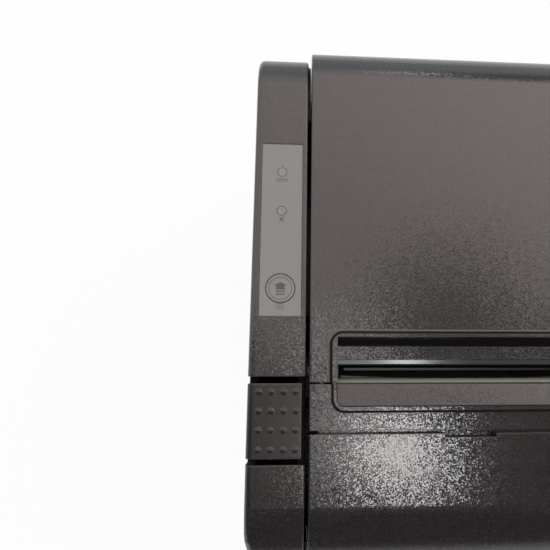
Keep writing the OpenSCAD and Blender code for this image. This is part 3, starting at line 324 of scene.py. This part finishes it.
def settled_normals(bm, sharp):
    """Corner normals that leave big faces flat: in a smooth fan round a point, large faces outweigh small."""
    bm.normal_update()
    areas = {face: face.calc_area() for face in bm.faces}
    normals = {}
    for vert in bm.verts:
        waiting = list(vert.link_loops)
        while waiting:
            fan, edge_of_fan = [], [waiting.pop()]
            while edge_of_fan:
                corner = edge_of_fan.pop()
                fan.append(corner)
                for other in [c for c in waiting if
                              any(e.calc_face_angle(math.pi) < sharp and corner.face in e.link_faces
                                  for e in c.face.edges if vert in e.verts)]:
                    waiting.remove(other)
                    edge_of_fan.append(other)
            largest = max(areas[c.face] for c in fan)
            weights = [(areas[c.face] / largest) ** big_face_power for c in fan]
            settled = sum((c.face.normal * weight for c, weight in zip(fan, weights)), Vector())
            for corner in fan:
                normals[corner] = settled.normalized()
    return [normals[corner] for face in bm.faces for corner in face.loops]


# How near to its line an edge lies, in millimetres, and how squarely the faces beside it look to the side,
# out of the deck or to the back.
same_line = 0.05
facing_side = 0.9
facing_out = 0.3
facing_back = 0.7
level_across = 0.3


def side_edges(bm, x):
    """The long edges at a distance x from the middle, where a side face meets the skin above or behind."""
    lines = []
    for edge in bm.edges:
        if len(edge.link_faces) != 2 or any(abs(abs(v.co.x) - x * mm) > same_line * mm for v in edge.verts):
            continue
        slopes = [deck.inverted().to_3x3() @ face.normal for face in edge.link_faces]
        skin, side = sorted(slopes, key=lambda n: abs(n.x))
        outer_skin = skin.z > facing_out or skin.y > facing_back
        if abs(side.x) > facing_side and abs(skin.x) < level_across and outer_skin:
            lines.append(edge)
    return lines


def inside_box(point, box):
    """Whether a deck point lies between a box's two corners, which are in millimetres."""
    return all(low * mm < value < high * mm for value, low, high in zip(point, box[0], box[1]))


def set_in_place(name, mesh, body, slot, *materials):
    """Makes a mesh a piece that rides on a body, with its finishes."""
    for material in materials:
        mesh.materials.append(material)
    piece = bpy.data.objects.new(name, mesh)
    bpy.context.collection.objects.link(piece)
    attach(piece, body)
    return piece


merge_distance = 1e-6
flat_angle = math.radians(0.4)
sharp_angle = math.radians(32)
edge_segments = 4


def smooth_copy(node, name, material, body, slot, side=None, radius=0.7, shade=None, shade_box=None):
    """A copy of a node with its triangles joined and, where side is given, the edges at that x rounded.

    Faces that lie in the shade box get the finish of painted shade, where there is one.
    """
    bm = bmesh.new()
    bm.from_mesh(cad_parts[node].data)
    bmesh.ops.remove_doubles(bm, verts=bm.verts, dist=merge_distance)
    bmesh.ops.dissolve_limit(bm, angle_limit=flat_angle, verts=bm.verts, edges=bm.edges)
    if side:
        bm.normal_update()
        bmesh.ops.bevel(bm, geom=side_edges(bm, side), offset=radius * mm, offset_type='OFFSET',
                        segments=edge_segments, profile=0.5, affect='EDGES', material=-1, clamp_overlap=False)
    for face in bm.faces:
        face.smooth = True
        middle = deck.inverted() @ face.calc_center_median()
        face.material_index = 1 if shade and inside_box(middle, shade_box) else 0
    normals = settled_normals(bm, sharp_angle)
    mesh = bpy.data.meshes.new(name)
    bm.to_mesh(mesh)
    bm.free()
    mesh.set_sharp_from_angle(angle=sharp_angle)
    mesh.normals_split_custom_set(normals)
    finishes = [material, shade] if shade else [material]
    piece = set_in_place(name, mesh, body, slot, *finishes)
    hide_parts(node)
    return piece


def finish_nodes(material, *names):
    """Gives a finish to nodes that are shown as they were built."""
    for name in names:
        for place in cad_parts[name].material_slots:
            place.material = material


# Its pale edges are partly wear and partly painted highlight, and its light flecks are painted sparkle.
case_black = finish("black textured plastic", linear(25, 24, 24), linear(32, 30, 30), 0.12,
                    grain=0.0004, depth=0.032, edge=0.5, wear_and_highlight=0.8, wear_and_highlight_colour=linear(112, 104, 98),
                    specular=0.8, painted_sparkle=0.2)
# A near-black finish of painted shade, for the lever's deep pocket and the dark strips round the rim.
deep_shade = finish("painted shade black", linear(13, 13, 13), linear(17, 17, 17), 0.7,
                    grain=0.0006, depth=0.004, edge=0.1, wear_and_highlight=0.1, specular=0.2)
foot_rubber = finish("soft grey rubber", linear(44, 44, 46), linear(54, 54, 56), 0.75,
                     grain=0.0003, depth=0.006, edge=0.3, wear_and_highlight=0.1)
screw_zinc = finish("black zinc screw", linear(60, 60, 62), linear(78, 78, 80), 0.36, metallic=1.0,
                    grain=0.0003, depth=0.002, edge=0.1, wear_and_highlight=0.6)

smooth_copy("base_tray", "lower_case", case_black, "case", "case_black")
smooth_copy("rubber_feet", "stick_on_feet", foot_rubber, "case", "rubber")
finish_nodes(screw_zinc, "case_screws")


# ---- Upper case -------------------------------------------------------------------------------------
# One moulding of the same black ABS: two side strips, the front sill and the rear panel with its ports.
# Four long screws from below hold it on the tray. The pocket round the lever is deep, and its faces are
# painted near-black as shade.
lever_pocket = ((-71, -27, -60), (-52.5, 2, -0.6))
strip_inner = 53.7

smooth_copy("upper_case", "side_strips", case_black, "case", "case_black", side=strip_inner, radius=0.8,
            shade=deep_shade, shade_box=lever_pocket)


# ---- Top cover --------------------------------------------------------------------------------------
# The clamshell lid over the roll. It turns on two steel stub pins at the back, and its front edge holds
# the upper half of the raised rim around the paper exit.
pin_steel = finish("bright drawn steel", linear(150, 152, 155), linear(178, 180, 182), 0.30, metallic=1.0,
                   grain=0.0006, depth=0.002, edge=0.15, wear_and_highlight=0.4)

cover_half = 52.6

smooth_copy("top_cover", "roll_cover", case_black, "cover", "case_black", side=cover_half)
finish_nodes(pin_steel, "hinge_pins")


# ---- Cover liner and tear bar holder ----------------------------------------------------------------
# Inner mouldings of the cover; four small screws hold the plain black liner. The holder's grained top
# is the ledge behind the paper slot, and it carries the tear blade and the platen.
inner_black = finish("black plain plastic", linear(22, 22, 23), linear(28, 28, 29), 0.32,
                     grain=0.0003, depth=0.004, edge=0.25, wear_and_highlight=0.4)

smooth_copy("cover_liner", "roll_liner", inner_black, "cover", "inner_black")
smooth_copy("tear_bar_holder", "exit_ledge", case_black, "cover", "case_black")
finish_nodes(screw_zinc, "cover_screws")


# ---- Tear blade -------------------------------------------------------------------------------------
# A strip of hardened steel, ground lengthwise, clipped into the holder at the back of the slot. Its
# back edge sits a little high, so that the strip leans towards the paper.
blade_steel = finish("blued blade steel", linear(84, 88, 92), linear(100, 104, 107), 0.14, metallic=1.0,
                     grain=0.0004, depth=0.001, edge=0.1, wear_and_highlight=0.5, stretch=(0.05, 1, 1))

blade_back = ((-50, 7.5, -4.0), (50, 7.7, -3.8))
blade_lift = 0.34
blade_sharp = math.radians(8)

tear_edge = smooth_copy("tear_blade", "tear_edge", blade_steel, "cover", "blade_steel")
bm = bmesh.new()
bm.from_mesh(tear_edge.data)
raised = [v for v in bm.verts if inside_box(deck.inverted() @ v.co, blade_back)]
bmesh.ops.translate(bm, verts=raised, vec=deck.to_3x3() @ Vector((0, 0, blade_lift * mm)))
tear_normals = settled_normals(bm, blade_sharp)
bm.to_mesh(tear_edge.data)
bm.free()
tear_edge.data.normals_split_custom_set(tear_normals)


# ---- Platen -----------------------------------------------------------------------------------------
# A black rubber roller, bonded on a steel shaft and ground round, in two white acetal bushes. It hangs
# in the arms of the tear bar holder and lifts away with the cover.
platen_rubber = finish("ground roller rubber", linear(30, 30, 31), linear(40, 40, 41), 0.62,
                       grain=0.0002, depth=0.004, edge=0.2, wear_and_highlight=0.2)
acetal_white = finish("white acetal", linear(205, 204, 198), linear(218, 217, 212), 0.34,
                      grain=0.0008, depth=0.002, edge=0.12, wear_and_highlight=0.2)

smooth_copy("platen_rubber", "roller_sleeve", platen_rubber, "platen", "rubber")
finish_nodes(pin_steel, "platen_shaft")
finish_nodes(acetal_white, "platen_bushes", "platen_gear")


# ---- Exit bezel and front cover ---------------------------------------------------------------------
# Two loose black mouldings in front of the slot. The bezel carries the lower half of the raised rim, and
# the front cover slides off forwards to reach the cutter.
smooth_copy("exit_bezel", "exit_rim", case_black, "case", "case_black", side=cover_half, radius=0.4)
smooth_copy("front_cover", "cutter_cover", case_black, "front_cover", "case_black", side=cover_half,
            radius=0.5)


# ---- Rim lines --------------------------------------------------------------------------------------
# A low bead runs round the cover's half of the rim, pale with a painted highlight. Inside it lies a dark
# strip of painted shadow, which goes on round the bezel's half, and a second strip of painted shadow follows
# the edge of its recess.
close_distance = 1e-7


def mesh_piece(name, bm, material, body, slot, smooth=None):
    """Makes a piece of a finished bmesh; smooth is the angle in degrees up to which its faces blend."""
    bmesh.ops.remove_doubles(bm, verts=bm.verts, dist=close_distance)
    bmesh.ops.recalc_face_normals(bm, faces=bm.faces)
    mesh = bpy.data.meshes.new(name)
    bm.to_mesh(mesh)
    bm.free()
    if smooth:
        mesh.shade_smooth()
        mesh.set_sharp_from_angle(angle=math.radians(smooth))
    set_in_place(name, mesh, body, slot, material)


def only(kind, geometry):
    """The points, edges or faces among what an operator has made."""
    return [g for g in geometry if isinstance(g, kind)]


leg_foot = 0.35
corner_steps = 10


def arch(bm, section, x, v_top, radius, toward, lift):
    """Sweeps a section of (outward, up) points up one leg, across the bar and down the other leg."""
    ring = [bm.verts.new(((-x - out) * mm, leg_foot * mm, (lift + up) * mm)) for out, up in section]
    line = [bm.edges.new(pair) for pair in zip(ring, ring[1:] + ring[:1])]
    bm.faces.new(ring)

    def draw(edges, vector):
        grown = bmesh.ops.extrude_edge_only(bm, edges=edges)["geom"]
        bmesh.ops.translate(bm, verts=only(bmesh.types.BMVert, grown), vec=vector)
        return [e for e in only(bmesh.types.BMEdge, grown) if all(v in grown for v in e.verts)]

    def turn(edges, centre_x):
        verts = list(dict.fromkeys(v for e in edges for v in e.verts))
        spun = bmesh.ops.spin(bm, geom=verts + edges, cent=(centre_x * mm, (v_top - radius) * mm, 0),
                              axis=(0, 0, 1), angle=-math.pi / 2, steps=corner_steps, use_merge=False)
        return only(bmesh.types.BMEdge, spun["geom_last"])

    leg = (0, (v_top - radius - leg_foot) * mm, 0)
    line = draw(line, leg)
    line = turn(line, -x + radius)
    line = draw(line, (2 * (x - radius) * mm, 0, 0))
    line = turn(line, x - radius)
    line = draw(line, (0, -leg[1], 0))
    bmesh.ops.holes_fill(bm, edges=line)
    # Points with a tag belong to arches that are in their places already.
    verts = [v for v in bm.verts if not v.tag]
    bmesh.ops.scale(bm, vec=(1, toward, 1), verts=verts)
    bmesh.ops.transform(bm, matrix=deck, verts=verts)
    for vert in bm.verts:
        vert.tag = True


# The bead's pale colour is a painted highlight along the rim's edge.
painted_highlight_ridge = finish("ridge with painted highlight", linear(84, 78, 72), linear(98, 91, 84), 0.4,
                   grain=0.0006, depth=0.01, edge=0.1, wear_and_highlight=0.2)

rim_top = 1.02
cover_top = 0.5
rim_corner = 4.2
# Each arch is given by how far out its legs stand, how far from the seam its bar lies, and its corners.
cover_rim = (45.8, 16.6, rim_corner)
bezel_rim = (45.4, 9.3, rim_corner)
recess_edge = (43.5, 7.2, 2.1)
# The dark strips are painted shadow: they lie over the foot of the rim and along the edge of the recess.
foot_shadow_line = [(-0.03, 0.02), (0.03, 0.02), (0.03, 0.36), (-0.09, 0.67), (-0.32, 0.9), (-0.62, rim_top),
               (-0.62, 0.9), (-0.3, 0.7)]
bead = [(0.12, -0.05), (0.8, -0.05), (0.78, 0.12), (0.62, 0.26), (0.42, 0.3), (0.22, 0.24), (0.12, 0.1)]
recess_shadow_line = [(0, 0.8), (0.28, 0.8), (0.28, rim_top), (0, rim_top)]
to_back, to_front = 1, -1
line_blend = 40

bm = bmesh.new()
arch(bm, bead, *cover_rim, to_back, cover_top)
mesh_piece("rim_bead", bm, painted_highlight_ridge, "cover", "case_black", smooth=line_blend)

bm = bmesh.new()
arch(bm, foot_shadow_line, *cover_rim, to_back, cover_top)
mesh_piece("cover_shadow_line", bm, deep_shade, "cover", "case_black", smooth=line_blend)

bm = bmesh.new()
arch(bm, foot_shadow_line, *bezel_rim, to_front, 0)
arch(bm, recess_shadow_line, *recess_edge, to_front, 0)
mesh_piece("bezel_shadow_lines", bm, deep_shade, "case", "case_black", smooth=line_blend)


# ---- Opening lever ----------------------------------------------------------------------------------
# A rocker of the same plastic, with a finer grain and sixteen moulded dots for the finger. It turns on a
# blackened pin and presses the arm of the latch's cross shaft, and a coil spring pushes both back.
# The lever's pale edges are partly wear and partly painted highlight.
lever_black = finish("fine textured plastic", linear(26, 24, 24), linear(34, 31, 31), 0.26,
                     grain=0.00045, depth=0.012, edge=0.7, wear_and_highlight=1.0, wear_and_highlight_colour=linear(128, 118, 110))
pin_black = finish("blackened pin", linear(24, 24, 25), linear(30, 30, 31), 0.5, metallic=0.6,
                   grain=0.0003, depth=0.002, edge=0.1, wear_and_highlight=0.2)

smooth_copy("open_lever", "finger_lever", lever_black, "lever", "case_black")
finish_nodes(pin_black, "lever_pin", "latch_shaft")
finish_nodes(pin_steel, "lever_spring")
smooth_copy("latch_hooks", "cover_hooks", inner_black, "latch", "inner_black")


# ---- Control label ----------------------------------------------------------------------------------
# A printed grey polyester film in a shallow recess, with two clear lamp windows and a round feed key.
# Its marks are dark screen ink: a power ring, a plain ring, and an arrow in two rings on the key.
label_film = finish("grey label film", linear(125, 131, 130), linear(132, 137, 136), 0.42,
                    grain=0.0002, depth=0.0015, edge=0.1, wear_and_highlight=0.2)
lamp_clear = finish("milky light pipe", linear(132, 127, 128), linear(142, 137, 138), 0.25,
                    grain=0.001, depth=0.001, edge=0.1, wear_and_highlight=0.1)
screen_ink = finish("grey brown screen ink", linear(80, 76, 76), linear(90, 85, 85), 0.5,
                    grain=0.0002, depth=0.001, edge=0.05, wear_and_highlight=0.1)

finish_nodes(label_film, "control_label", "feed_key")
finish_nodes(lamp_clear, "light_windows")

label_x = -62.4
film_top = -0.1
power_v, error_v, key_v = 71.3, 57.5, 30.95
ink_thick = 0.03
ring_steps = 64


def on_label(v):
    """The place of a print in the middle of the label, a distance v behind the seam."""
    return deck @ Matrix.Translation((label_x * mm, v * mm, film_top * mm))


def lay_down(bm, made, place):
    """Gives a flat print its thickness and moves it to its place."""
    raised = bmesh.ops.extrude_face_region(bm, geom=made)["geom"]
    bmesh.ops.translate(bm, verts=only(bmesh.types.BMVert, raised), vec=(0, 0, ink_thick * mm))
    bmesh.ops.transform(bm, matrix=place, verts=[v for v in bm.verts if not v.tag])
    for vert in bm.verts:
        vert.tag = True


def ink_ring(bm, place, outer, line, gap=0):
    """A printed ring, open at the top by gap degrees to each side."""
    start = math.radians(90 + gap)
    radii = [(outer - line) * mm, outer * mm]
    ends = [bm.verts.new((r * math.cos(start), r * math.sin(start), 0)) for r in radii]
    edge = bm.edges.new(ends)
    bmesh.ops.spin(bm, geom=ends + [edge], cent=(0, 0, 0), axis=(0, 0, 1), angle=math.radians(360 - 2 * gap),
                   steps=ring_steps, use_merge=gap == 0)
    lay_down(bm, [f for f in bm.faces if not any(v.tag for v in f.verts)], place)


def ink_shape(bm, place, points):
    """A printed patch from its corners, in millimetres."""
    corners = [bm.verts.new((x * mm, v * mm, 0)) for x, v in points]
    lay_down(bm, [bm.faces.new(corners)], place)


def bar(left, right, low, high):
    """The corners of a printed bar."""
    return [(left, low), (right, low), (right, high), (left, high)]


lamp_ring = (1.72, 0.26)
power_gap = 24
power_stroke = bar(-0.13, 0.13, 1.0, 2.35)
line_v, line_mark = power_v - 2.6, bar(-1.9, 1.9, -0.13, 0.13)
dash_v, dash_marks = power_v - 3.3, [bar(left, left + 0.9, -0.13, 0.13) for left in (-1.9, -0.45, 1.0)]
cross_v, cross_arm = error_v - 2.9, [(-0.85, -0.65), (-0.6, -0.85), (0.85, 0.65), (0.6, 0.85)]
feed_v, feed_marks = key_v - 6.05, [bar(-1.3, 1.3, low, low + 0.22) for low in (-0.9, -0.1, 0.7)]
key_rings = [(4.72, 0.16), (3.85, 0.22)]
key_arrow = [(-1.45, -0.46), (1.45, -0.46), (1.45, 0.95), (2.25, 0.95), (0, 2.1), (-2.25, 0.95),
             (-1.45, 0.95)]
key_bars = [bar(-1.45, 1.45, low, low + 0.42) for low in (-1.26, -2.18)]

bm = bmesh.new()
ink_ring(bm, on_label(power_v), *lamp_ring, gap=power_gap)
ink_shape(bm, on_label(power_v), power_stroke)
ink_ring(bm, on_label(error_v), *lamp_ring)
ink_shape(bm, on_label(line_v), line_mark)
for mark in dash_marks:
    ink_shape(bm, on_label(dash_v), mark)
# The mirrored arm of the cross takes its corners backwards, so that it faces up as well.
for tilt in (-1, 1):
    ink_shape(bm, on_label(cross_v), [(x * tilt, v) for x, v in cross_arm][::tilt])
for mark in feed_marks:
    ink_shape(bm, on_label(feed_v), mark)
mesh_piece("label_marks", bm, screen_ink, "case", "label_grey")

bm = bmesh.new()
for outer, line in key_rings:
    ink_ring(bm, on_label(key_v), outer, line)
for mark in [key_arrow] + key_bars:
    ink_shape(bm, on_label(key_v), mark)
mesh_piece("key_marks", bm, screen_ink, "feed_key", "key_grey")


# ---- Paper bucket -----------------------------------------------------------------------------------
# A drop-in tub of plain black plastic under the roll, hung by its rim on ledges in the case. The optical
# paper sensor sits in its side wall.
smooth_copy("paper_bucket", "roll_tub", inner_black, "case", "inner_black")
finish_nodes(inner_black, "paper_sensor")


# ---- Print mechanism --------------------------------------------------------------------------------
# A folded steel frame that stands on the tray. The ceramic head sits on its aluminium heat sink, which
# tilts on a rod and is pressed on the platen by two springs.
frame_steel = finish("zinc plated sheet", linear(150, 152, 155), linear(178, 180, 182), 0.34, metallic=1.0,
                     grain=0.0009, depth=0.003, edge=0.15, wear_and_highlight=0.4)
sink_aluminium = finish("extruded aluminium", linear(172, 174, 176), linear(188, 190, 192), 0.36,
                        metallic=1.0, grain=0.0005, depth=0.002, edge=0.15, wear_and_highlight=0.4, stretch=(0.1, 1, 1))
head_ceramic = finish("brown glazed ceramic", linear(66, 56, 48), linear(78, 67, 58), 0.3,
                      grain=0.0004, depth=0.001, edge=0.1, wear_and_highlight=0.2)

finish_nodes(frame_steel, "mechanism_frame", "head_rod", "head_springs")
finish_nodes(sink_aluminium, "heat_sink")
finish_nodes(head_ceramic, "thermal_head")


# ---- Feed gears -------------------------------------------------------------------------------------
# A can motor with a brass pinion turns a white acetal idler, which turns the platen's gear. The idler
# runs on a steel post in the frame's side plate.
gear_brass = finish("turned brass", linear(196, 158, 84), linear(214, 178, 104), 0.24, metallic=1.0,
                    grain=0.0003, depth=0.001, edge=0.1, wear_and_highlight=0.4)

finish_nodes(frame_steel, "feed_motor", "idler_post")
finish_nodes(gear_brass, "motor_pinion")
finish_nodes(acetal_white, "idler_gear")


# ---- Cutter -----------------------------------------------------------------------------------------
# A sliding blade with a rack, driven through a two-step gear by its own small motor. A dull plated guard
# covers its edge, and a black chute below it leads the paper up.
# The moving blade's steel is painted dark as the shade that falls on it deep in the slot.
shaded_blade_steel = finish("blade steel darkened as painted shade", linear(52, 53, 55), linear(62, 63, 65), 0.35, metallic=1.0,
                    grain=0.0004, depth=0.001, edge=0.1, wear_and_highlight=0.2)
guard_plate = finish("dull plated guard", linear(100, 104, 96), linear(112, 115, 107), 0.5, metallic=0.4,
                     grain=0.0005, depth=0.002, edge=0.15, wear_and_highlight=0.3)

finish_nodes(frame_steel, "cutter_frame", "cutter_motor")
finish_nodes(guard_plate, "cutter_guard")
finish_nodes(inner_black, "paper_guide")
finish_nodes(shaded_blade_steel, "moving_blade")
finish_nodes(acetal_white, "cutter_gear")
finish_nodes(gear_brass, "cutter_pinion")


# ---- Boards and sockets -----------------------------------------------------------------------------
# Green glass-fibre boards: the main board with its row of sockets at the back, and a slip of board under
# the label. Two sockets are black mouldings, and two have folded steel shells.
board_green = finish("board laminate", linear(24, 82, 46), linear(34, 98, 56), 0.35,
                     grain=0.0008, depth=0.004, edge=0.1, wear_and_highlight=0.3)

finish_nodes(board_green, "main_board", "control_board")
finish_nodes(inner_black, "power_socket", "drawer_socket")
finish_nodes(frame_steel, "usb_socket", "network_socket")


# ---- Socket contacts --------------------------------------------------------------------------------
# Gold-plated spring wires in the drawer and network sockets, the white tongue with four contacts in the
# printer's data socket, and three round pins in the power socket. Each is pressed into its moulding.
contact_gold = finish("gold plating", linear(212, 172, 84), linear(228, 190, 108), 0.22, metallic=1.0,
                      grain=0.0003, depth=0.001, edge=0.08, wear_and_highlight=0.3)
tongue_white = finish("white socket tongue", linear(206, 205, 200), linear(216, 215, 210), 0.4,
                      grain=0.0006, depth=0.002, edge=0.15, wear_and_highlight=0.2)

back_wall_y = 86.6
socket_floor = 16.5
drawer_x, drawer_wires = 14, 6
network_x, network_wires = -28, 8
wire_pitch = 1.02
wire_width = 0.46
wire_thick = 0.18
wire_bed = 3.45
wire_side = [(-8.9, wire_bed), (-3.4, wire_bed), (-2.5, wire_bed + 0.5), (-3.1, wire_bed + 1.5),
             (-6.4, wire_bed + 2.9)]


def spring_wire(bm, x):
    """A flat wire that lies in its socket and bends up and back towards the mouth."""
    steps = [bm.verts.new(((x - wire_width / 2) * mm, (back_wall_y + y) * mm, (socket_floor + z) * mm))
             for y, z in wire_side]
    line = [bm.edges.new(pair) for pair in zip(steps, steps[1:])]
    grown = bmesh.ops.extrude_edge_only(bm, edges=line)["geom"]
    bmesh.ops.translate(bm, verts=only(bmesh.types.BMVert, grown), vec=(wire_width * mm, 0, 0))
    faces = only(bmesh.types.BMFace, grown)
    bmesh.ops.recalc_face_normals(bm, faces=faces)
    bmesh.ops.solidify(bm, geom=faces, thickness=wire_thick * mm)


bm = bmesh.new()
for socket_x, count in ((drawer_x, drawer_wires), (network_x, network_wires)):
    for k in range(count):
        spring_wire(bm, socket_x + (k - (count - 1) / 2) * wire_pitch)
mesh_piece("spring_wires", bm, contact_gold, "case", "brass", smooth=30)


def block(bm, size, centre):
    """A block from its sides and its middle, which is given from the back wall and the socket's floor."""
    corners = bmesh.ops.create_cube(bm, size=1.0)["verts"]
    x, y, z = centre
    bmesh.ops.scale(bm, vec=Vector(size) * mm, verts=corners)
    bmesh.ops.translate(bm, vec=Vector((x, back_wall_y + y, socket_floor + z)) * mm, verts=corners)
    return corners


def round_mouth(bm, corners, behind, radius, segments):
    """Rounds the end of a block that faces the socket's mouth."""
    ends = [e for e in bm.edges
            if e.verts[0] in corners and all(v.co.y > (back_wall_y + behind) * mm for v in e.verts)]
    bmesh.ops.bevel(bm, geom=ends, offset=radius * mm, offset_type='OFFSET', segments=segments, profile=0.5,
                    affect='EDGES', material=-1)


data_x = -6
tongue_size = (5.4, 7.6, 2.9)
tongue_depth, tongue_level = -5.4, 4.7
contact_size = (1.0, 5.6, 0.16)
contact_depth = -5.6
contact_spread = 1.25
contact_levels = (6.18, 3.22)

bm = bmesh.new()
tongue = block(bm, tongue_size, (data_x, tongue_depth, tongue_level))
round_mouth(bm, tongue, behind=-2, radius=0.7, segments=2)
mesh_piece("data_tongue", bm, tongue_white, "case", "gear_white", smooth=30)

bm = bmesh.new()
for level in contact_levels:
    for side in (-1, 1):
        strip = block(bm, contact_size, (data_x + contact_spread * side, contact_depth, level))
        round_mouth(bm, strip, behind=-3, radius=0.06, segments=1)
mesh_piece("data_contacts", bm, contact_gold, "case", "brass")

power_x, power_level = 34, 7
pin_circle = 3
pin_side = [(0, -3.9), (0.22, -3.92), (0.42, -4.05), (0.56, -4.3), (0.58, -6.95)]
pin_steps = 20

bm = bmesh.new()
for angle in (90, 210, 330):
    x = power_x + pin_circle * math.cos(math.radians(angle))
    z = socket_floor + power_level + pin_circle * math.sin(math.radians(angle))
    points = [bm.verts.new(((x + r) * mm, (back_wall_y + y) * mm, z * mm)) for r, y in pin_side]
    line = [bm.edges.new(pair) for pair in zip(points, points[1:])]
    bmesh.ops.spin(bm, geom=points + line, cent=(x * mm, 0, z * mm), axis=(0, 1, 0), angle=2 * math.pi,
                   steps=pin_steps, use_merge=True)
bmesh.ops.remove_doubles(bm, verts=bm.verts, dist=close_distance)
bmesh.ops.holes_fill(bm, edges=[e for e in bm.edges if e.is_boundary], sides=0)
mesh_piece("power_pins", bm, contact_gold, "case", "brass", smooth=40)


# ---- Power switch -----------------------------------------------------------------------------------
# A small glossy rocker in a black bezel, set in the right side. Its two marks, a bar and a ring, are
# printed in white pad ink on the two halves.
rocker_black = finish("gloss switch plastic", linear(18, 18, 19), linear(24, 24, 25), 0.16,
                      grain=0.001, depth=0.001, edge=0.3, wear_and_highlight=0.4)
print_white = finish("white pad print", linear(196, 196, 194), linear(210, 210, 208), 0.5,
                     grain=0.0002, depth=0.001, edge=0.05, wear_and_highlight=0.1)

finish_nodes(inner_black, "switch_body")
finish_nodes(rocker_black, "power_rocker")

rocker_tilt = math.radians(-6)
rocker_pivot = Matrix.Translation((68.2 * mm, 52 * mm, 46 * mm)) @ Matrix.Rotation(rocker_tilt, 4, 'Z')
paddle_drop, paddle_run = 0.5, 6.9
paddle_slope = math.atan2(paddle_drop, paddle_run)
paddle_out, paddle_along = 1.96, 3.5
off_ring = (1.35, 0.3)
on_bar = bar(-1.4, 1.4, -0.17, 0.17)


def on_paddle(side):
    """The place of a print at the middle of one half of the rocker; side is -1 or 1."""
    return (rocker_pivot @ Matrix.Translation((paddle_out * mm, side * paddle_along * mm, 0))
            @ Matrix.Rotation(-side * paddle_slope, 4, 'Z') @ Matrix.Rotation(math.pi / 2, 4, 'Y'))


bm = bmesh.new()
ink_ring(bm, on_paddle(1), *off_ring)
ink_shape(bm, on_paddle(-1), on_bar)
mesh_piece("switch_marks", bm, print_white, "rocker", "gear_white")
